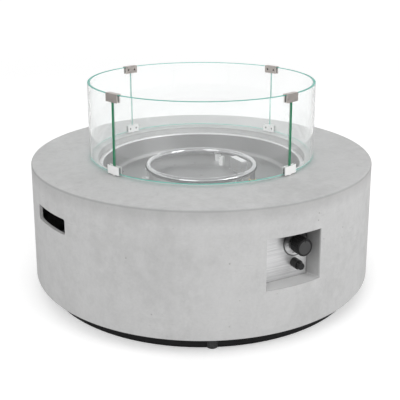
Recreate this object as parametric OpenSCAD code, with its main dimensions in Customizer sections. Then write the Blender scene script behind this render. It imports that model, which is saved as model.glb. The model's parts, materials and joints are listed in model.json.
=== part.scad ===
// Round concrete fire pit table with a drop-in gas burner and a lift-off glass wind guard.
// Z = 0 is the floor, the drum's axis is the Z axis and the control recess faces -Y.
// Azimuths are in degrees round Z, from the front (-Y) towards the right (+X).

/* [Table] */
// Outside diameter of the concrete drum
table_d = 1066; // [1040:1:1120]
// Height of the concrete drum
drum_h = 356; // [340:1:400]
// Thickness of the drum's side wall
drum_wall = 10; // [10:0.5:14]
// Thickness of the table top
top_t = 22; // [18:0.5:28]
// Radius of the rounded rim of the table top
rim_r = 5; // [4:0.5:9]
// Radius of the rounded edge of the fire opening
edge_r = 3; // [1:0.5:5]
// Radius of the cove between the wall and the underside of the top
cove_r = 18; // [8:1:24]
// Distance that the lip under the drum reaches in past the base ring
lip_margin = 9; // [5:0.5:20]
// Thickness of that lip
lip_t = 14; // [12:0.5:18]

/* [Base] */
// Height of the drum's lower edge over the floor
base_h = 42; // [36:1:50]
// Distance of the base ring in from the drum's side
base_ring_inset = 37; // [30:1:45]
// Width of the base ring's channel
base_ring_w = 30; // [28:0.5:34]
// Thickness of the base ring's sheet
base_ring_t = 3; // [2:0.5:4]
// Gap between the base ring and the floor
base_ring_gap = 2; // [2:0.5:8]
// Diameter of a foot
foot_d = 33; // [30:0.5:36]
// Distance of the feet's centres in from the base ring's outside
foot_inset = 9; // [6:0.5:12]
// Number of feet
foot_count = 4; // [4:1:8]
// Azimuth of the first foot
foot_turn = -24; // [-25:1:-20]

/* [Handle slots] */
// Width of a handle slot
slot_w = 160; // [130:1:180]
// Height of a handle slot
slot_h = 45; // [35:1:60]
// Depth of the slot's centre under the table top
slot_drop = 106; // [90:1:130]
// Corner radius of a handle slot
slot_r = 6; // [3:0.5:10]
// Azimuth of the left handle slot
slot_turn = -80; // [-90:1:-70]

/* [Control recess] */
// Width of the recess at its mouth
recess_w = 170; // [160:1:190]
// Height of the recess
recess_h = 142; // [136:1:160]
// Width of the recess at the control plate
recess_back_w = 140; // [134:1:150]
// Depth of the control plate behind the drum's front
recess_depth = 50; // [47:1:54]
// Depth of the recess centre under the table top
recess_drop = 160; // [150:1:170]
// Thickness of the recess walls
recess_wall = 12; // [10:0.5:16]
// Thickness of the control plate
plate_t = 1.5; // [1:0.1:2.5]

/* [Fire pan] */
// Depth of the pan floor under the table top
pan_depth = 80; // [70:1:90]
// Sheet thickness of the pan
pan_t = 1.5; // [1:0.1:2]
// Inside diameter of the pan's mouth
pan_mouth_d = 632; // [600:1:680]
// Width in plan of the pan's sloping wall
pan_slope_w = 35; // [32:1:44]
// Width of the pan's flange
pan_flange_w = 10; // [7:0.5:12]
// Gap between the pan's flange and the concrete
pan_gap = 1.5; // [1:0.1:2.5]
// Distance that the seat ring reaches out past the fire opening
seat_ring_lap = 20; // [17:0.5:28]
// Thickness of the seat ring
seat_ring_t = 3; // [2:0.5:4]
// Number of seat ring screws
seat_screw_count = 8; // [4:1:12]
// Number of drain holes round the pan floor
drain_count = 12; // [6:1:12]
// Diameter of a drain hole
drain_d = 6; // [4:0.5:8]
// Diameter of the circle of drain holes
drain_circle_d = 288; // [278:1:292]
// Distance of the hold-down bolts in from the edge of the pan floor
hold_inset = 23; // [18:1:30]
// Azimuth of the first hold-down clip
hold_turn = -35; // [-38:1:-30]

/* [Burner] */
// Diameter of the burner ring along the middle of its tube
ring_d = 342; // [334:1:350]
// Diameter of the burner ring's tube
ring_tube_d = 19; // [16:0.5:20]
// Wall of the burner ring's tube
ring_wall = 1.2; // [1:0.1:2]
// Height of the tube's middle over the pan floor
ring_lift = 36; // [34:1:42]
// Number of gas ports
port_count = 48; // [24:1:60]
// Diameter of a gas port
port_d = 2; // [1.5:0.1:2.5]
// Azimuth of the riser that feeds the ring
riser_turn = 43; // [38:1:48]
// Diameter of the riser
riser_d = 16; // [15:0.5:16]

/* [Pilot] */
// Distance of the pilot burner from the centre, to the right
pilot_x = 114; // [112:1:118]
// Distance of the pilot burner from the centre, to the back
pilot_y = 69; // [64:1:74]
// Diameter of the pilot burner
pilot_d = 20; // [18:0.5:21]
// Height of the pilot burner over the pan floor
pilot_h = 30; // [26:0.5:36]
// Width of the igniter guard
guard_box_w = 22; // [21:0.5:26]
// Length of the igniter guard
guard_box_l = 70; // [66:1:74]
// Height of the igniter guard
guard_box_h = 44; // [42:0.5:46]

/* [Valve and knob] */
// Distance of the knob from the middle of the control plate
knob_x = 33; // [30:0.5:33]
// Depth of the knob's axis under the table top
knob_drop = 134; // [130:0.5:134]
// Diameter of the knob
knob_d = 48; // [44:0.5:50]
// Length of the knob
knob_l = 34; // [32:0.5:35]
// Distance that the knob is pushed in
knob_travel = 5; // [3:0.5:5]
// Diameter of the bezel
bezel_d = 72; // [64:0.5:72]
// Diameter of the valve stem
stem_d = 8; // [7:0.5:9]
// Diameter of the valve body
valve_d = 34; // [32:0.5:36]
// Length of the valve body behind the control plate
valve_l = 40; // [38:0.5:46]
// Diameter of the gas inlet's flare fitting
inlet_d = 15.9; // [14:0.1:17]
// Length of the gas inlet's flare fitting
inlet_l = 14; // [12:0.5:18]

/* [Igniter] */
// Distance of the igniter from the middle of the control plate
igniter_x = 30; // [28:0.5:33]
// Depth of the igniter's axis under the table top
igniter_drop = 190; // [190:0.5:196]
// Diameter of the igniter's collar
collar_d = 26; // [25:0.5:30]
// Length of the igniter's collar
collar_h = 24; // [20:0.5:28]
// Diameter of the igniter's body
igniter_d = 22; // [21:0.5:23]
// Diameter of the push button
button_d = 19; // [17:0.5:19]
// Distance that the button is pushed in
button_travel = 4; // [2:0.5:4]

/* [Glass wind guard] */
// Distance of the glass cylinder's outside from the edge of the fire opening
guard_out = 27.5; // [20:0.5:34]
// Height of a glass panel
glass_h = 230; // [180:1:280]
// Thickness of the glass
glass_t = 8; // [6:0.5:10]
// Gap between neighbouring panels
glass_gap = 2; // [1:0.5:4]
// Azimuth of the first joint between panels
guard_turn = 18; // [0:1:45]
// Distance that the guard is lifted to take it off
guard_lift = 300; // [200:10:400]

/* [Clips] */
// Length of a clip along the glass
clip_l = 50; // [44:1:60]
// Height of a clip
clip_h = 25; // [22:0.5:30]
// Thickness of a clip's plates
clip_t = 3; // [2:0.5:4]
// Thickness of a clip's pads
pad_t = 1; // [0.5:0.1:1.5]
// Diameter of a clip's set screws
set_screw_d = 6; // [5:0.5:6]
// Height of the small feet under the bottom clips
guard_foot_h = 3.5; // [2:0.5:6]

/* [Hidden] */
$fn = 96;

// Clearances
slip = 0.1;
running = 0.05;
seat_gap = 0.2;
over = 1;

// Heights and radii that follow from the sizes above
top_z = base_h + drum_h;
drum_r = table_d / 2;
opening_r = pan_mouth_d / 2 + pan_flange_w + pan_gap;
base_ring_r = drum_r - base_ring_inset;
lip_w = base_ring_inset + base_ring_w + lip_margin;
floor_z = top_z - pan_depth;
seat_z = top_z - top_t;
front_y = -drum_r;
plate_y = front_y + recess_depth;
plate_back = plate_y + plate_t;
mouth_y = -sqrt(pow(drum_r, 2) - pow(recess_w / 2, 2));
recess_z = top_z - recess_drop;
slot_z = top_z - slot_drop;

// Screws: shank radius, head radius and head height of the sizes used
m4_r = 2;
m5_r = 2.5;
head_r = 4.8;
head_h = 3.2;
screw_grip = 11;
socket_af = 3;
socket_deep = 2;
screw_fn = 48;

// Base: the foot's pocket in the channel, its edge and its counterbore
foot_r = foot_d / 2;
foot_h = base_h - base_ring_t;
foot_edge = 3;
foot_bore_r = 6;
foot_bore_h = 22;
foot_slack = 0.5;
foot_circle_r = base_ring_r - foot_inset;
base_screw_count = 8;
base_screw_turn = foot_turn + 180 / base_screw_count;
base_screw_r = base_ring_r - base_ring_w / 2;

// Seat ring, hold-down clips and their bolts
seat_ring_gap = 1.2;
seat_ring_in = pan_mouth_d / 2 + seat_ring_gap + pan_t;
seat_ring_out = opening_r + seat_ring_lap;
seat_screw_r = seat_ring_out - head_r - pan_gap;
seat_screw_turn = 12;
hold_count = 4;
hold_w = 25;
hold_t = 3;
hold_tail = 13;
hold_r = pan_mouth_d / 2 - pan_slope_w - hold_inset;
hold_post_r = opening_r + hold_t + pan_gap;
hold_nut_af = 8;
hold_nut_h = 4;
hold_bolt_l = 19;

// Pan: slope of the wall as a shift in radius for its thickness
pan_mouth_r = pan_mouth_d / 2;
pan_floor_r = pan_mouth_r - pan_slope_w;
pan_flange_r = pan_mouth_r + pan_flange_w;
pan_wall_h = seat_z + pan_t - floor_z;
pan_shift = pan_t * norm([pan_mouth_r - pan_floor_r, pan_wall_h]) / pan_wall_h;
centre_drain_r = 4;
drain_turn = 12;
drain_left_out = 2;

// Burner ring, its brackets and the riser
ring_r = ring_d / 2;
tube_r = ring_tube_d / 2;
ring_z = floor_z + ring_lift;
port_tilt = 35;
bracket_count = 3;
bracket_turn = -107;
bracket_w = 20;
bracket_t = 2;
bracket_foot = 20;
rivet_inset = 6;
rivet_head_h = 1.6;
rivet_tail = 2.4;
riser_r = riser_d / 2;
riser_wall = 1.5;
riser_drop = 26;
nut_af = 24;
nut_h = 5;
mixer_r = 11;
mixer_l = 46;
mixer_grip = 12;
mixer_bore_r = 6;
air_hole_r = 4;
air_hole_count = 4;
elbow_h = 16;
elbow_boss_r = 7;
elbow_boss_l = 24;
gas_bore_r = 3;
riser_x = ring_r * sin(riser_turn);
riser_y = -ring_r * cos(riser_turn);
mixer_top = floor_z - riser_drop + mixer_grip;
elbow_top = mixer_top - mixer_l;

// Pilot burner and the igniter guard with its electrode and thermocouple
pilot_r = pilot_d / 2;
pilot_wall = 1.5;
pilot_stub_r = 5;
pilot_stub_l = 18;
pilot_port_r = 1.5;
pilot_port_count = 6;
pilot_port_drop = 6;
pilot_nut_af = 26;
pilot_nut_h = 4;
guard_box_t = 1;
guard_box_x = 126;
guard_box_y = -23;
guard_tab = 12;
perf_r = 2;
perf_pitch = 7;
perf_edge = 5;
electrode_y = guard_box_y - guard_box_l / 4;
thermo_y = guard_box_y + guard_box_l / 4;
ceramic_r = 3;
ceramic_h = 28;
probe_r = 2.5;
probe_h = 36;
tip_r = 1;
tip_h = 8;
under_l = 16;
ferrule_r = 5.5;
ferrule_h = 3;

// Control plate and what goes through it
plate_screw_inset = recess_wall / 2;
neck_r = 9;
neck_l = 5;
valve_nut_af = 24;
valve_nut_h = 3;
bezel_h = 4.5;
bezel_t = 1.2;
bezel_rim = 6;
bezel_hole_r = 10;
knob_back_gap = 6;
knob_edge = 3;
knob_skin = 4;
knob_hub_r = 8;
knob_front = 4;
flute_count = 24;
flute_r = 2;
flute_sink = 0.8;
mark_w = 2;
mark_l = 9;
mark_deep = 0.8;
stem_flat = 1.5;
stem_in = 17;
stem_grip = 16;
valve_cavity_r = 9;
valve_front = 3;
valve_cavity_l = 22;
stem_flange_r = 7;
stem_flange_t = 2;
collar_r = 8.5;
collar_t = 3;
spring_gap = 0.3;
spring_wire_r = 0.8;
spring_turns = 5;
outlet_r = 7;
outlet_l = 16;
port_boss_r = 5;
port_boss_l = 8;
pilot_port_y = plate_back + valve_l * 3 / 4;
thermo_port_y = plate_back + valve_l * 3 / 4;
inlet_port_y = plate_back + valve_l / 2;
inlet_hex_af = 22;
inlet_hex_h = 8;
inlet_boss_r = 9;
inlet_arm_r = 8;
inlet_ball_r = 11.5;
inlet_chamber_r = 4.5;
inlet_arm_l = 14;
inlet_leg_l = 12;
inlet_tilt = -135;
knob_z = top_z - knob_drop;
valve_end = plate_back + valve_l;
knob_front_y = plate_y - bezel_h - knob_back_gap - knob_l;

// Igniter: the collar, the button, the battery and the rear terminal
igniter_z = top_z - igniter_drop;
igniter_r = igniter_d / 2;
igniter_l = 58;
igniter_neck = 8;
button_r = button_d / 2;
button_out = 36;
button_l = 33;
button_edge = 1.5;
guide_l = 12;
battery_r = 7.2;
battery_l = 46;
igniter_nut_af = 28;
igniter_nut_h = 5;
terminal_r = 2.5;
terminal_l = 8;
button_spring_r = 0.5;

// Glass wind guard and clips
guard_r = opening_r + guard_out;
clip_web = 2.5;
glass_z = top_z + seat_gap + guard_foot_h + clip_web;
glass_top = glass_z + glass_h;
clip_out = guard_r + pad_t + clip_t;
clip_in = guard_r - glass_t - pad_t - clip_t;
screw_spread_share = 0.27;
guard_foot_r = 7;
guard_foot_edge = 1;
joint_count = 4;

// Leads and tubes under the pan: radius, and share of the span that each end runs straight on
burner_hose_r = 6;
pilot_line_r = 3;
spark_lead_r = 2.2;
thermo_lead_r = 1.5;
lead_sides = 8;
lead_steps = 28;
hose_bend_shares = [0.45, 0.45];
pilot_bend_shares = [0.16, 0.3];
spark_bend_shares = [0.45, 0.3];
thermo_bend_shares = [0.2, 0.4];

// Turns its children, which stand at the front, to an azimuth
module at(azimuth) rotate([0, 0, azimuth]) children();

// A side profile in Y and Z, drawn out along X about the middle
module side_profile(w) rotate([90, 0, 90]) linear_extrude(w, center = true) children();

// Turns a solid that stands on Z to lie along Y, its foot at the front
module along_y() rotate([-90, 0, 0]) children();

module hex(af, h) cylinder(h = h, r = af / 2 / cos(30), $fn = 6);

// A pan head screw that points up: the head hangs under Z = 0
module screw_up(r, l, head, h) {
    difference() {
        union() {
            cylinder(h = l, r = r, $fn = screw_fn);
            translate([0, 0, -h]) cylinder(h = h + seat_gap, r = head, $fn = screw_fn);
        }
        translate([0, 0, -h - over]) hex(socket_af, socket_deep + over);
    }
}

// Points and directions of a curve that leaves p0 along d0 and arrives at p1 against d1
function bezier(p0, d0, p1, d1, shares, t) = let (
    span = norm(p1 - p0), a = p0 + d0 * span * shares[0], b = p1 + d1 * span * shares[1], s = 1 - t)
    s * s * s * p0 + 3 * s * s * t * a + 3 * s * t * t * b + t * t * t * p1;
function unit(v) = v / norm(v);
function flatten(v, n) = unit(v - (v * n) * n);
function tangents(p, d0, d1) = [for (i = [0:len(p) - 1])
    i == 0 ? d0 : i == len(p) - 1 ? -d1 : unit(p[i + 1] - p[i - 1])];
function normals(t, first, i = 0, done = []) = i == len(t) ? done :
    normals(t, first, i + 1, concat(done, [flatten(i == 0 ? first : done[i - 1], t[i])]));

// A round tube along such a curve, with a straight stub of one diameter at each end
module lead(p0, d0, p1, d1, r, shares, first) {
    q0 = p0 + d0 * 2 * r;
    q1 = p1 + d1 * 2 * r;
    inner = [for (i = [0:lead_steps]) bezier(q0, d0, q1, d1, shares, i / lead_steps)];
    path = concat([p0], inner, [p1]);
    t = tangents(path, d0, d1);
    n = normals(t, first);
    rings = len(path);
    points = [for (i = [0:rings - 1]) for (k = [0:lead_sides - 1])
        let (a = 360 * k / lead_sides) path[i] + r * (cos(a) * n[i] + sin(a) * cross(t[i], n[i]))];
    walls = [for (i = [0:rings - 2]) for (k = [0:lead_sides - 1])
        let (a = i * lead_sides, b = a + lead_sides, m = (k + 1) % lead_sides)
        each [[a + k, b + k, b + m], [a + k, b + m, a + m]]];
    caps = [for (k = [1:lead_sides - 2]) each [[0, k, k + 1],
        [(rings - 1) * lead_sides, (rings - 1) * lead_sides + k + 1, (rings - 1) * lead_sides + k]]];
    polyhedron(points = points, faces = concat(walls, caps), convexity = 4);
}

// A coil spring on Z, from z = 0 up to l, along the middle of its wire
module coil(r, wire, l, turns) {
    steps = turns * 16;
    sides = 6;
    path = [for (i = [0:steps]) let (a = 360 * turns * i / steps)
        [r * cos(a), r * sin(a), wire + (l - 2 * wire) * i / steps]];
    points = [for (i = [0:steps]) for (k = [0:sides - 1])
        let (a = 360 * turns * i / steps, b = 360 * k / sides, out = [cos(a), sin(a), 0])
        path[i] + wire * (cos(b) * out + sin(b) * [0, 0, 1])];
    walls = [for (i = [0:steps - 1]) for (k = [0:sides - 1])
        let (a = i * sides, b = a + sides, m = (k + 1) % sides)
        each [[a + k, b + m, b + k], [a + k, a + m, b + m]]];
    caps = [for (k = [1:sides - 2]) each [[0, k + 1, k],
        [steps * sides, steps * sides + k, steps * sides + k + 1]]];
    polyhedron(points = points, faces = concat(walls, caps), convexity = 8);
}

// Half width of the recess at a depth y, between its mouth and the control plate
function recess_half(y) = recess_w / 2 + (recess_back_w - recess_w) / 2 * (y - mouth_y) / (plate_y - mouth_y);

// Plan of the recess between two depths, wider by grow on each side
module recess_plan(y0, y1, grow) polygon([
    [-recess_half(y0) - grow, y0], [recess_half(y0) + grow, y0],
    [recess_half(y1) + grow, y1], [-recess_half(y1) - grow, y1]]);

module recess_block(y0, y1, grow)
    translate([0, 0, recess_z - recess_h / 2 - grow])
        linear_extrude(recess_h + 2 * grow) recess_plan(y0, y1, grow);

module drum_section() {
    translate([opening_r + edge_r, seat_z]) square([drum_r - opening_r - edge_r - rim_r, top_t]);
    translate([opening_r, seat_z]) square([2 * edge_r, top_t - edge_r]);
    translate([opening_r + edge_r, top_z - edge_r]) circle(edge_r, $fn = screw_fn);
    translate([drum_r - drum_wall, base_h]) square([drum_wall, drum_h - rim_r]);
    translate([drum_r - rim_r, top_z - rim_r]) circle(rim_r, $fn = screw_fn);
    translate([drum_r - lip_w, base_h]) square([lip_w - drum_wall / 2, lip_t]);
    translate([drum_r - drum_wall - cove_r, seat_z - cove_r]) difference() {
        square([cove_r + drum_wall / 2, cove_r + top_t / 2]);
        circle(cove_r);
    }
}

// A handle slot with round corners, cut through the wall at the front
module slot_cut() {
    corner_x = slot_w / 2 - slot_r;
    corner_z = slot_h / 2 - slot_r;
    y0 = -drum_r - over;
    length = 2 * drum_wall + over + drum_r - sqrt(pow(drum_r, 2) - pow(slot_w / 2, 2));
    translate([0, y0, slot_z]) {
        translate([-slot_w / 2, 0, -corner_z]) cube([slot_w, length, 2 * corner_z]);
        translate([-corner_x, 0, -slot_h / 2]) cube([2 * corner_x, length, slot_h]);
        for (x = [-corner_x, corner_x]) for (z = [-corner_z, corner_z])
            translate([x, 0, z]) along_y() cylinder(h = length, r = slot_r, $fn = screw_fn);
    }
}

// Places of the control plate's screws
function plate_screw_places() = [for (x = [-1, 1]) for (z = [-1, 1])
    [x * (recess_back_w / 2 + plate_screw_inset), z * (recess_h / 2 + plate_screw_inset)]];

module drum_shell() color([0.74, 0.74, 0.73]) difference() {
    union() {
        rotate_extrude() drum_section();
        intersection() {
            recess_block(front_y, plate_y, recess_wall);
            cylinder(h = top_z, r = drum_r - drum_wall / 2);
        }
    }
    recess_block(front_y - over, plate_y + over, 0);
    for (turn = [slot_turn, slot_turn + 180]) at(turn) slot_cut();
    for (i = [0:foot_count - 1]) at(foot_turn + 360 * i / foot_count)
        translate([0, -foot_circle_r, base_h - over]) cylinder(h = screw_grip + over, r = m5_r + slip);
    for (i = [0:base_screw_count - 1]) at(base_screw_turn + 360 * i / base_screw_count)
        translate([0, -base_screw_r, base_h - over]) cylinder(h = screw_grip + over, r = m5_r + slip);
    for (i = [0:seat_screw_count - 1]) at(seat_screw_turn + 360 * i / seat_screw_count)
        translate([0, -seat_screw_r, seat_z - over]) cylinder(h = screw_grip + over, r = m5_r + slip);
    for (p = plate_screw_places()) translate([p[0], plate_y + over, recess_z + p[1]])
        rotate([90, 0, 0]) cylinder(h = screw_grip + over, r = m4_r + slip);
}

// The channel that the drum stands on, with a pocket for each foot
module base_ring() color([0.06, 0.06, 0.06]) {
    out = base_ring_r;
    low = base_ring_gap;
    difference() {
        rotate_extrude() {
            translate([out - base_ring_w, base_h - base_ring_t]) square([base_ring_w, base_ring_t]);
            translate([out - base_ring_t, low]) square([base_ring_t, base_h - low]);
            translate([out - base_ring_w, low]) square([base_ring_t, base_h - low]);
        }
        for (i = [0:foot_count - 1]) at(foot_turn + 360 * i / foot_count) translate([0, -foot_circle_r, 0]) {
            cylinder(h = foot_h + slip, r = foot_r + foot_slack);
            cylinder(h = base_h + over, r = m5_r + slip);
        }
        for (i = [0:base_screw_count - 1]) at(base_screw_turn + 360 * i / base_screw_count)
            translate([0, -base_screw_r, foot_h - over]) cylinder(h = base_ring_t + 2 * over, r = m5_r + slip);
    }
}

module base_screws() color([0.35, 0.35, 0.36])
    for (i = [0:base_screw_count - 1]) at(base_screw_turn + 360 * i / base_screw_count)
        translate([0, -base_screw_r, foot_h - seat_gap])
            screw_up(m5_r, base_ring_t + screw_grip, head_r, head_h);

module foot() difference() {
    rotate_extrude() {
        square([foot_r - foot_edge, foot_h - seat_gap]);
        translate([0, foot_edge]) square([foot_r, foot_h - foot_edge - seat_gap]);
        translate([foot_r - foot_edge, foot_edge]) circle(foot_edge, $fn = screw_fn);
    }
    translate([0, 0, -over]) cylinder(h = foot_bore_h + over, r = foot_bore_r);
    cylinder(h = foot_h + over, r = m5_r + slip);
}

module feet() color([0.13, 0.13, 0.13])
    for (i = [0:foot_count - 1]) at(foot_turn + 360 * i / foot_count)
        translate([0, -foot_circle_r, 0]) foot();

module foot_screws() color([0.35, 0.35, 0.36])
    for (i = [0:foot_count - 1]) at(foot_turn + 360 * i / foot_count)
        translate([0, -foot_circle_r, foot_bore_h - seat_gap])
            screw_up(m5_r, base_h - foot_bore_h + screw_grip, head_r, head_h);

module seat_ring() color([0.45, 0.45, 0.46]) difference() {
    rotate_extrude() translate([seat_ring_in, seat_z - seat_ring_t])
        square([seat_ring_out - seat_ring_in, seat_ring_t]);
    for (i = [0:seat_screw_count - 1]) at(seat_screw_turn + 360 * i / seat_screw_count)
        translate([0, -seat_screw_r, seat_z - seat_ring_t - over])
            cylinder(h = seat_ring_t + 2 * over, r = m5_r + slip);
}

module seat_screws() color([0.35, 0.35, 0.36])
    for (i = [0:seat_screw_count - 1]) at(seat_screw_turn + 360 * i / seat_screw_count)
        translate([0, -seat_screw_r, seat_z - seat_ring_t - seat_gap])
            screw_up(m5_r, seat_ring_t + screw_grip, head_r, head_h);

// Radii at which a bracket's rivet and the guard's screws go through the pan floor
rivet_r = ring_r + bracket_foot - rivet_inset;
guard_screw_ys = [
    guard_box_y - guard_box_l / 2 - guard_tab / 2,
    guard_box_y + guard_box_l / 2 + guard_tab / 2];

module fire_pan() color([0.68, 0.68, 0.69]) difference() {
    rotate_extrude() polygon([
        [0, floor_z], [pan_floor_r, floor_z], [pan_mouth_r, seat_z + pan_t], [pan_flange_r, seat_z + pan_t],
        [pan_flange_r, seat_z], [pan_mouth_r + pan_shift - pan_t, seat_z],
        [pan_floor_r + pan_shift / 2, floor_z - pan_t], [0, floor_z - pan_t]]);
    translate([0, 0, floor_z - pan_t - over]) {
        cylinder(h = pan_t + 2 * over, r = centre_drain_r);
        for (i = [0:drain_count - 1]) if (i != drain_left_out) at(drain_turn + 360 * i / drain_count)
            translate([0, -drain_circle_d / 2, 0]) cylinder(h = pan_t + 2 * over, r = drain_d / 2);
        for (i = [0:hold_count - 1]) at(hold_turn + 360 * i / hold_count)
            translate([0, -hold_r, 0]) cylinder(h = pan_t + 2 * over, r = m5_r + slip);
        for (i = [0:bracket_count - 1]) at(bracket_turn + 360 * i / bracket_count)
            translate([0, -rivet_r, 0]) cylinder(h = pan_t + 2 * over, r = m4_r + slip);
        translate([riser_x, riser_y, 0]) cylinder(h = pan_t + 2 * over, r = riser_r + slip);
        translate([pilot_x, pilot_y, 0]) cylinder(h = pan_t + 2 * over, r = pilot_stub_r + slip);
        translate([guard_box_x, electrode_y, 0]) cylinder(h = pan_t + 2 * over, r = ceramic_r + slip);
        translate([guard_box_x, thermo_y, 0]) cylinder(h = pan_t + 2 * over, r = probe_r + slip);
        for (y = guard_screw_ys) translate([guard_box_x, y, 0])
            cylinder(h = pan_t + 2 * over, r = m4_r + slip);
    }
}

// Clips that reach from the pan floor out under the seat ring and clamp the pan down on it
module hold_down_clips() color([0.5, 0.5, 0.51])
    for (i = [0:hold_count - 1]) at(hold_turn + 360 * i / hold_count) difference() {
        side_profile(hold_w) {
            low = floor_z - pan_t - hold_t;
            translate([-hold_post_r, low]) square([hold_post_r - hold_r + hold_tail, hold_t]);
            translate([-hold_post_r, low]) square([hold_t, seat_z - seat_ring_t - low]);
        }
        translate([0, -hold_r, floor_z - pan_t - hold_t - over])
            cylinder(h = hold_t + 2 * over, r = m5_r + slip);
    }

module hold_down_bolts() color([0.72, 0.72, 0.73])
    for (i = [0:hold_count - 1]) at(hold_turn + 360 * i / hold_count)
        translate([0, -hold_r, floor_z + seat_gap + running]) mirror([0, 0, 1])
            screw_up(m5_r, hold_bolt_l, head_r, head_h);

module hold_down_nuts() color([0.5, 0.5, 0.51])
    for (i = [0:hold_count - 1]) at(hold_turn + 360 * i / hold_count)
        translate([0, -hold_r, floor_z - pan_t - hold_t - hold_nut_h]) difference() {
            hex(hold_nut_af, hold_nut_h);
            translate([0, 0, -over]) cylinder(h = hold_nut_h + 2 * over, r = m5_r + slip);
        }

// The burner: a closed round tube with gas ports on its inner side
module burner_ring() color([0.82, 0.82, 0.83]) translate([0, 0, ring_z]) difference() {
    rotate_extrude() translate([ring_r, 0]) difference() {
        circle(tube_r);
        circle(tube_r - ring_wall);
    }
    for (i = [0:port_count - 1]) at(360 * (i + 0.5) / port_count) translate([0, -ring_r, 0])
        rotate([-90 + port_tilt, 0, 0]) cylinder(h = tube_r + over, r = port_d / 2, $fn = 16);
    at(riser_turn) translate([0, -ring_r, -tube_r - over])
        cylinder(h = tube_r + over, r = riser_r - riser_wall);
}

// Saddles under the ring: foot on the pan floor, post and cradle
module ring_brackets() color([0.7, 0.7, 0.71])
    for (i = [0:bracket_count - 1]) at(bracket_turn + 360 * i / bracket_count) difference() {
        side_profile(bracket_w) {
            translate([-ring_r - bracket_foot, floor_z])
                square([bracket_foot + bracket_t / 2, bracket_t]);
            translate([-ring_r - bracket_t / 2, floor_z])
                square([bracket_t, ring_lift - tube_r - seat_gap - bracket_t / 2]);
            translate([-ring_r, ring_z]) difference() {
                circle(tube_r + seat_gap + bracket_t);
                circle(tube_r + seat_gap);
                translate([-ring_tube_d, -tube_r / 2]) square([2 * ring_tube_d, 2 * ring_tube_d]);
            }
        }
        translate([0, -rivet_r, floor_z - over]) cylinder(h = bracket_t + 2 * over, r = m4_r + slip);
    }

module bracket_rivets() color([0.8, 0.8, 0.8])
    for (i = [0:bracket_count - 1]) at(bracket_turn + 360 * i / bracket_count)
        translate([0, -rivet_r, floor_z]) {
            shank = pan_t + bracket_t;
            translate([0, 0, bracket_t]) cylinder(h = rivet_head_h, r = 2 * m4_r, $fn = screw_fn);
            translate([0, 0, -pan_t]) cylinder(h = shank, r = m4_r, $fn = screw_fn);
            translate([0, 0, -pan_t - rivet_tail]) cylinder(h = rivet_tail, r = 1.5 * m4_r, $fn = screw_fn);
        }

module riser_tube() color([0.75, 0.75, 0.76]) difference() {
    translate([riser_x, riser_y, floor_z - riser_drop]) cylinder(h = riser_drop + ring_lift, r = riser_r);
    translate([riser_x, riser_y, floor_z - riser_drop - over])
        cylinder(h = riser_drop + ring_lift + 2 * over, r = riser_r - riser_wall);
    translate([0, 0, ring_z]) rotate_extrude() translate([ring_r, 0]) circle(tube_r + running);
}

module riser_nuts() color([0.78, 0.74, 0.62])
    for (z = [floor_z, floor_z - pan_t - nut_h]) translate([riser_x, riser_y, z]) difference() {
        hex(nut_af, nut_h);
        translate([0, 0, -over]) cylinder(h = nut_h + 2 * over, r = riser_r + slip);
    }

// The mixer draws air in through its side holes above the jet
module air_mixer() color([0.72, 0.6, 0.35]) translate([riser_x, riser_y, elbow_top]) difference() {
    cylinder(h = mixer_l, r = mixer_r);
    translate([0, 0, -over]) cylinder(h = mixer_l + 2 * over, r = mixer_bore_r);
    translate([0, 0, mixer_l - mixer_grip]) cylinder(h = mixer_grip + over, r = riser_r + slip);
    for (i = [0:air_hole_count - 1]) at(45 + 360 * i / air_hole_count)
        translate([0, 0, mixer_l / 3]) rotate([90, 0, 0])
            cylinder(h = mixer_r + over, r = air_hole_r, $fn = screw_fn);
}

module jet_elbow() color([0.72, 0.6, 0.35]) translate([riser_x, riser_y, elbow_top - elbow_h]) difference() {
    union() {
        cylinder(h = elbow_h - slip, r = mixer_r);
        translate([0, -elbow_boss_l, elbow_h / 2]) along_y()
            cylinder(h = elbow_boss_l, r = elbow_boss_r);
    }
    translate([0, -elbow_boss_l - over, elbow_h / 2]) along_y()
        cylinder(h = elbow_boss_l + over, r = gas_bore_r);
    translate([0, 0, elbow_h / 2]) cylinder(h = elbow_h, r = port_d / 2, $fn = 24);
}

module burner_hose() color([0.35, 0.35, 0.36])
    lead([riser_x, riser_y - elbow_boss_l, elbow_top - elbow_h / 2], [0, -1, 0],
        [knob_x, valve_end + outlet_l, knob_z], [0, 1, 0], burner_hose_r, hose_bend_shares, [1, 0, 0]);

module pilot_burner() color([0.82, 0.82, 0.83]) translate([pilot_x, pilot_y, floor_z]) difference() {
    union() {
        translate([0, 0, running]) cylinder(h = pilot_h, r = pilot_r);
        translate([0, 0, -pilot_stub_l]) cylinder(h = pilot_stub_l + over, r = pilot_stub_r);
    }
    translate([0, 0, 2 * pilot_wall]) cylinder(h = pilot_h, r = pilot_r - pilot_wall);
    translate([0, 0, -pilot_stub_l - over]) cylinder(h = pilot_stub_l + pilot_h, r = gas_bore_r / 2);
    for (i = [0:pilot_port_count / 2 - 1]) at(30 + 360 * i / pilot_port_count)
        translate([0, -pilot_r - over, pilot_h - pilot_port_drop]) along_y()
            cylinder(h = pilot_d + 2 * over, r = pilot_port_r, $fn = 24);
}

// Round lock nut that holds the pilot burner from under the pan
module pilot_nut() color([0.72, 0.6, 0.35])
    translate([pilot_x, pilot_y, floor_z - pan_t - pilot_nut_h]) difference() {
        hex(pilot_nut_af, pilot_nut_h);
        translate([0, 0, -over]) cylinder(h = pilot_nut_h + 2 * over, r = pilot_stub_r + slip);
    }

module pilot_line() color([0.7, 0.7, 0.71])
    lead([knob_x, pilot_port_y, knob_z + valve_d / 2 + port_boss_l], [0, 0, 1],
        [pilot_x, pilot_y, floor_z - pilot_stub_l], [0, 0, -1], pilot_line_r, pilot_bend_shares, [1, 0, 0]);

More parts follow.
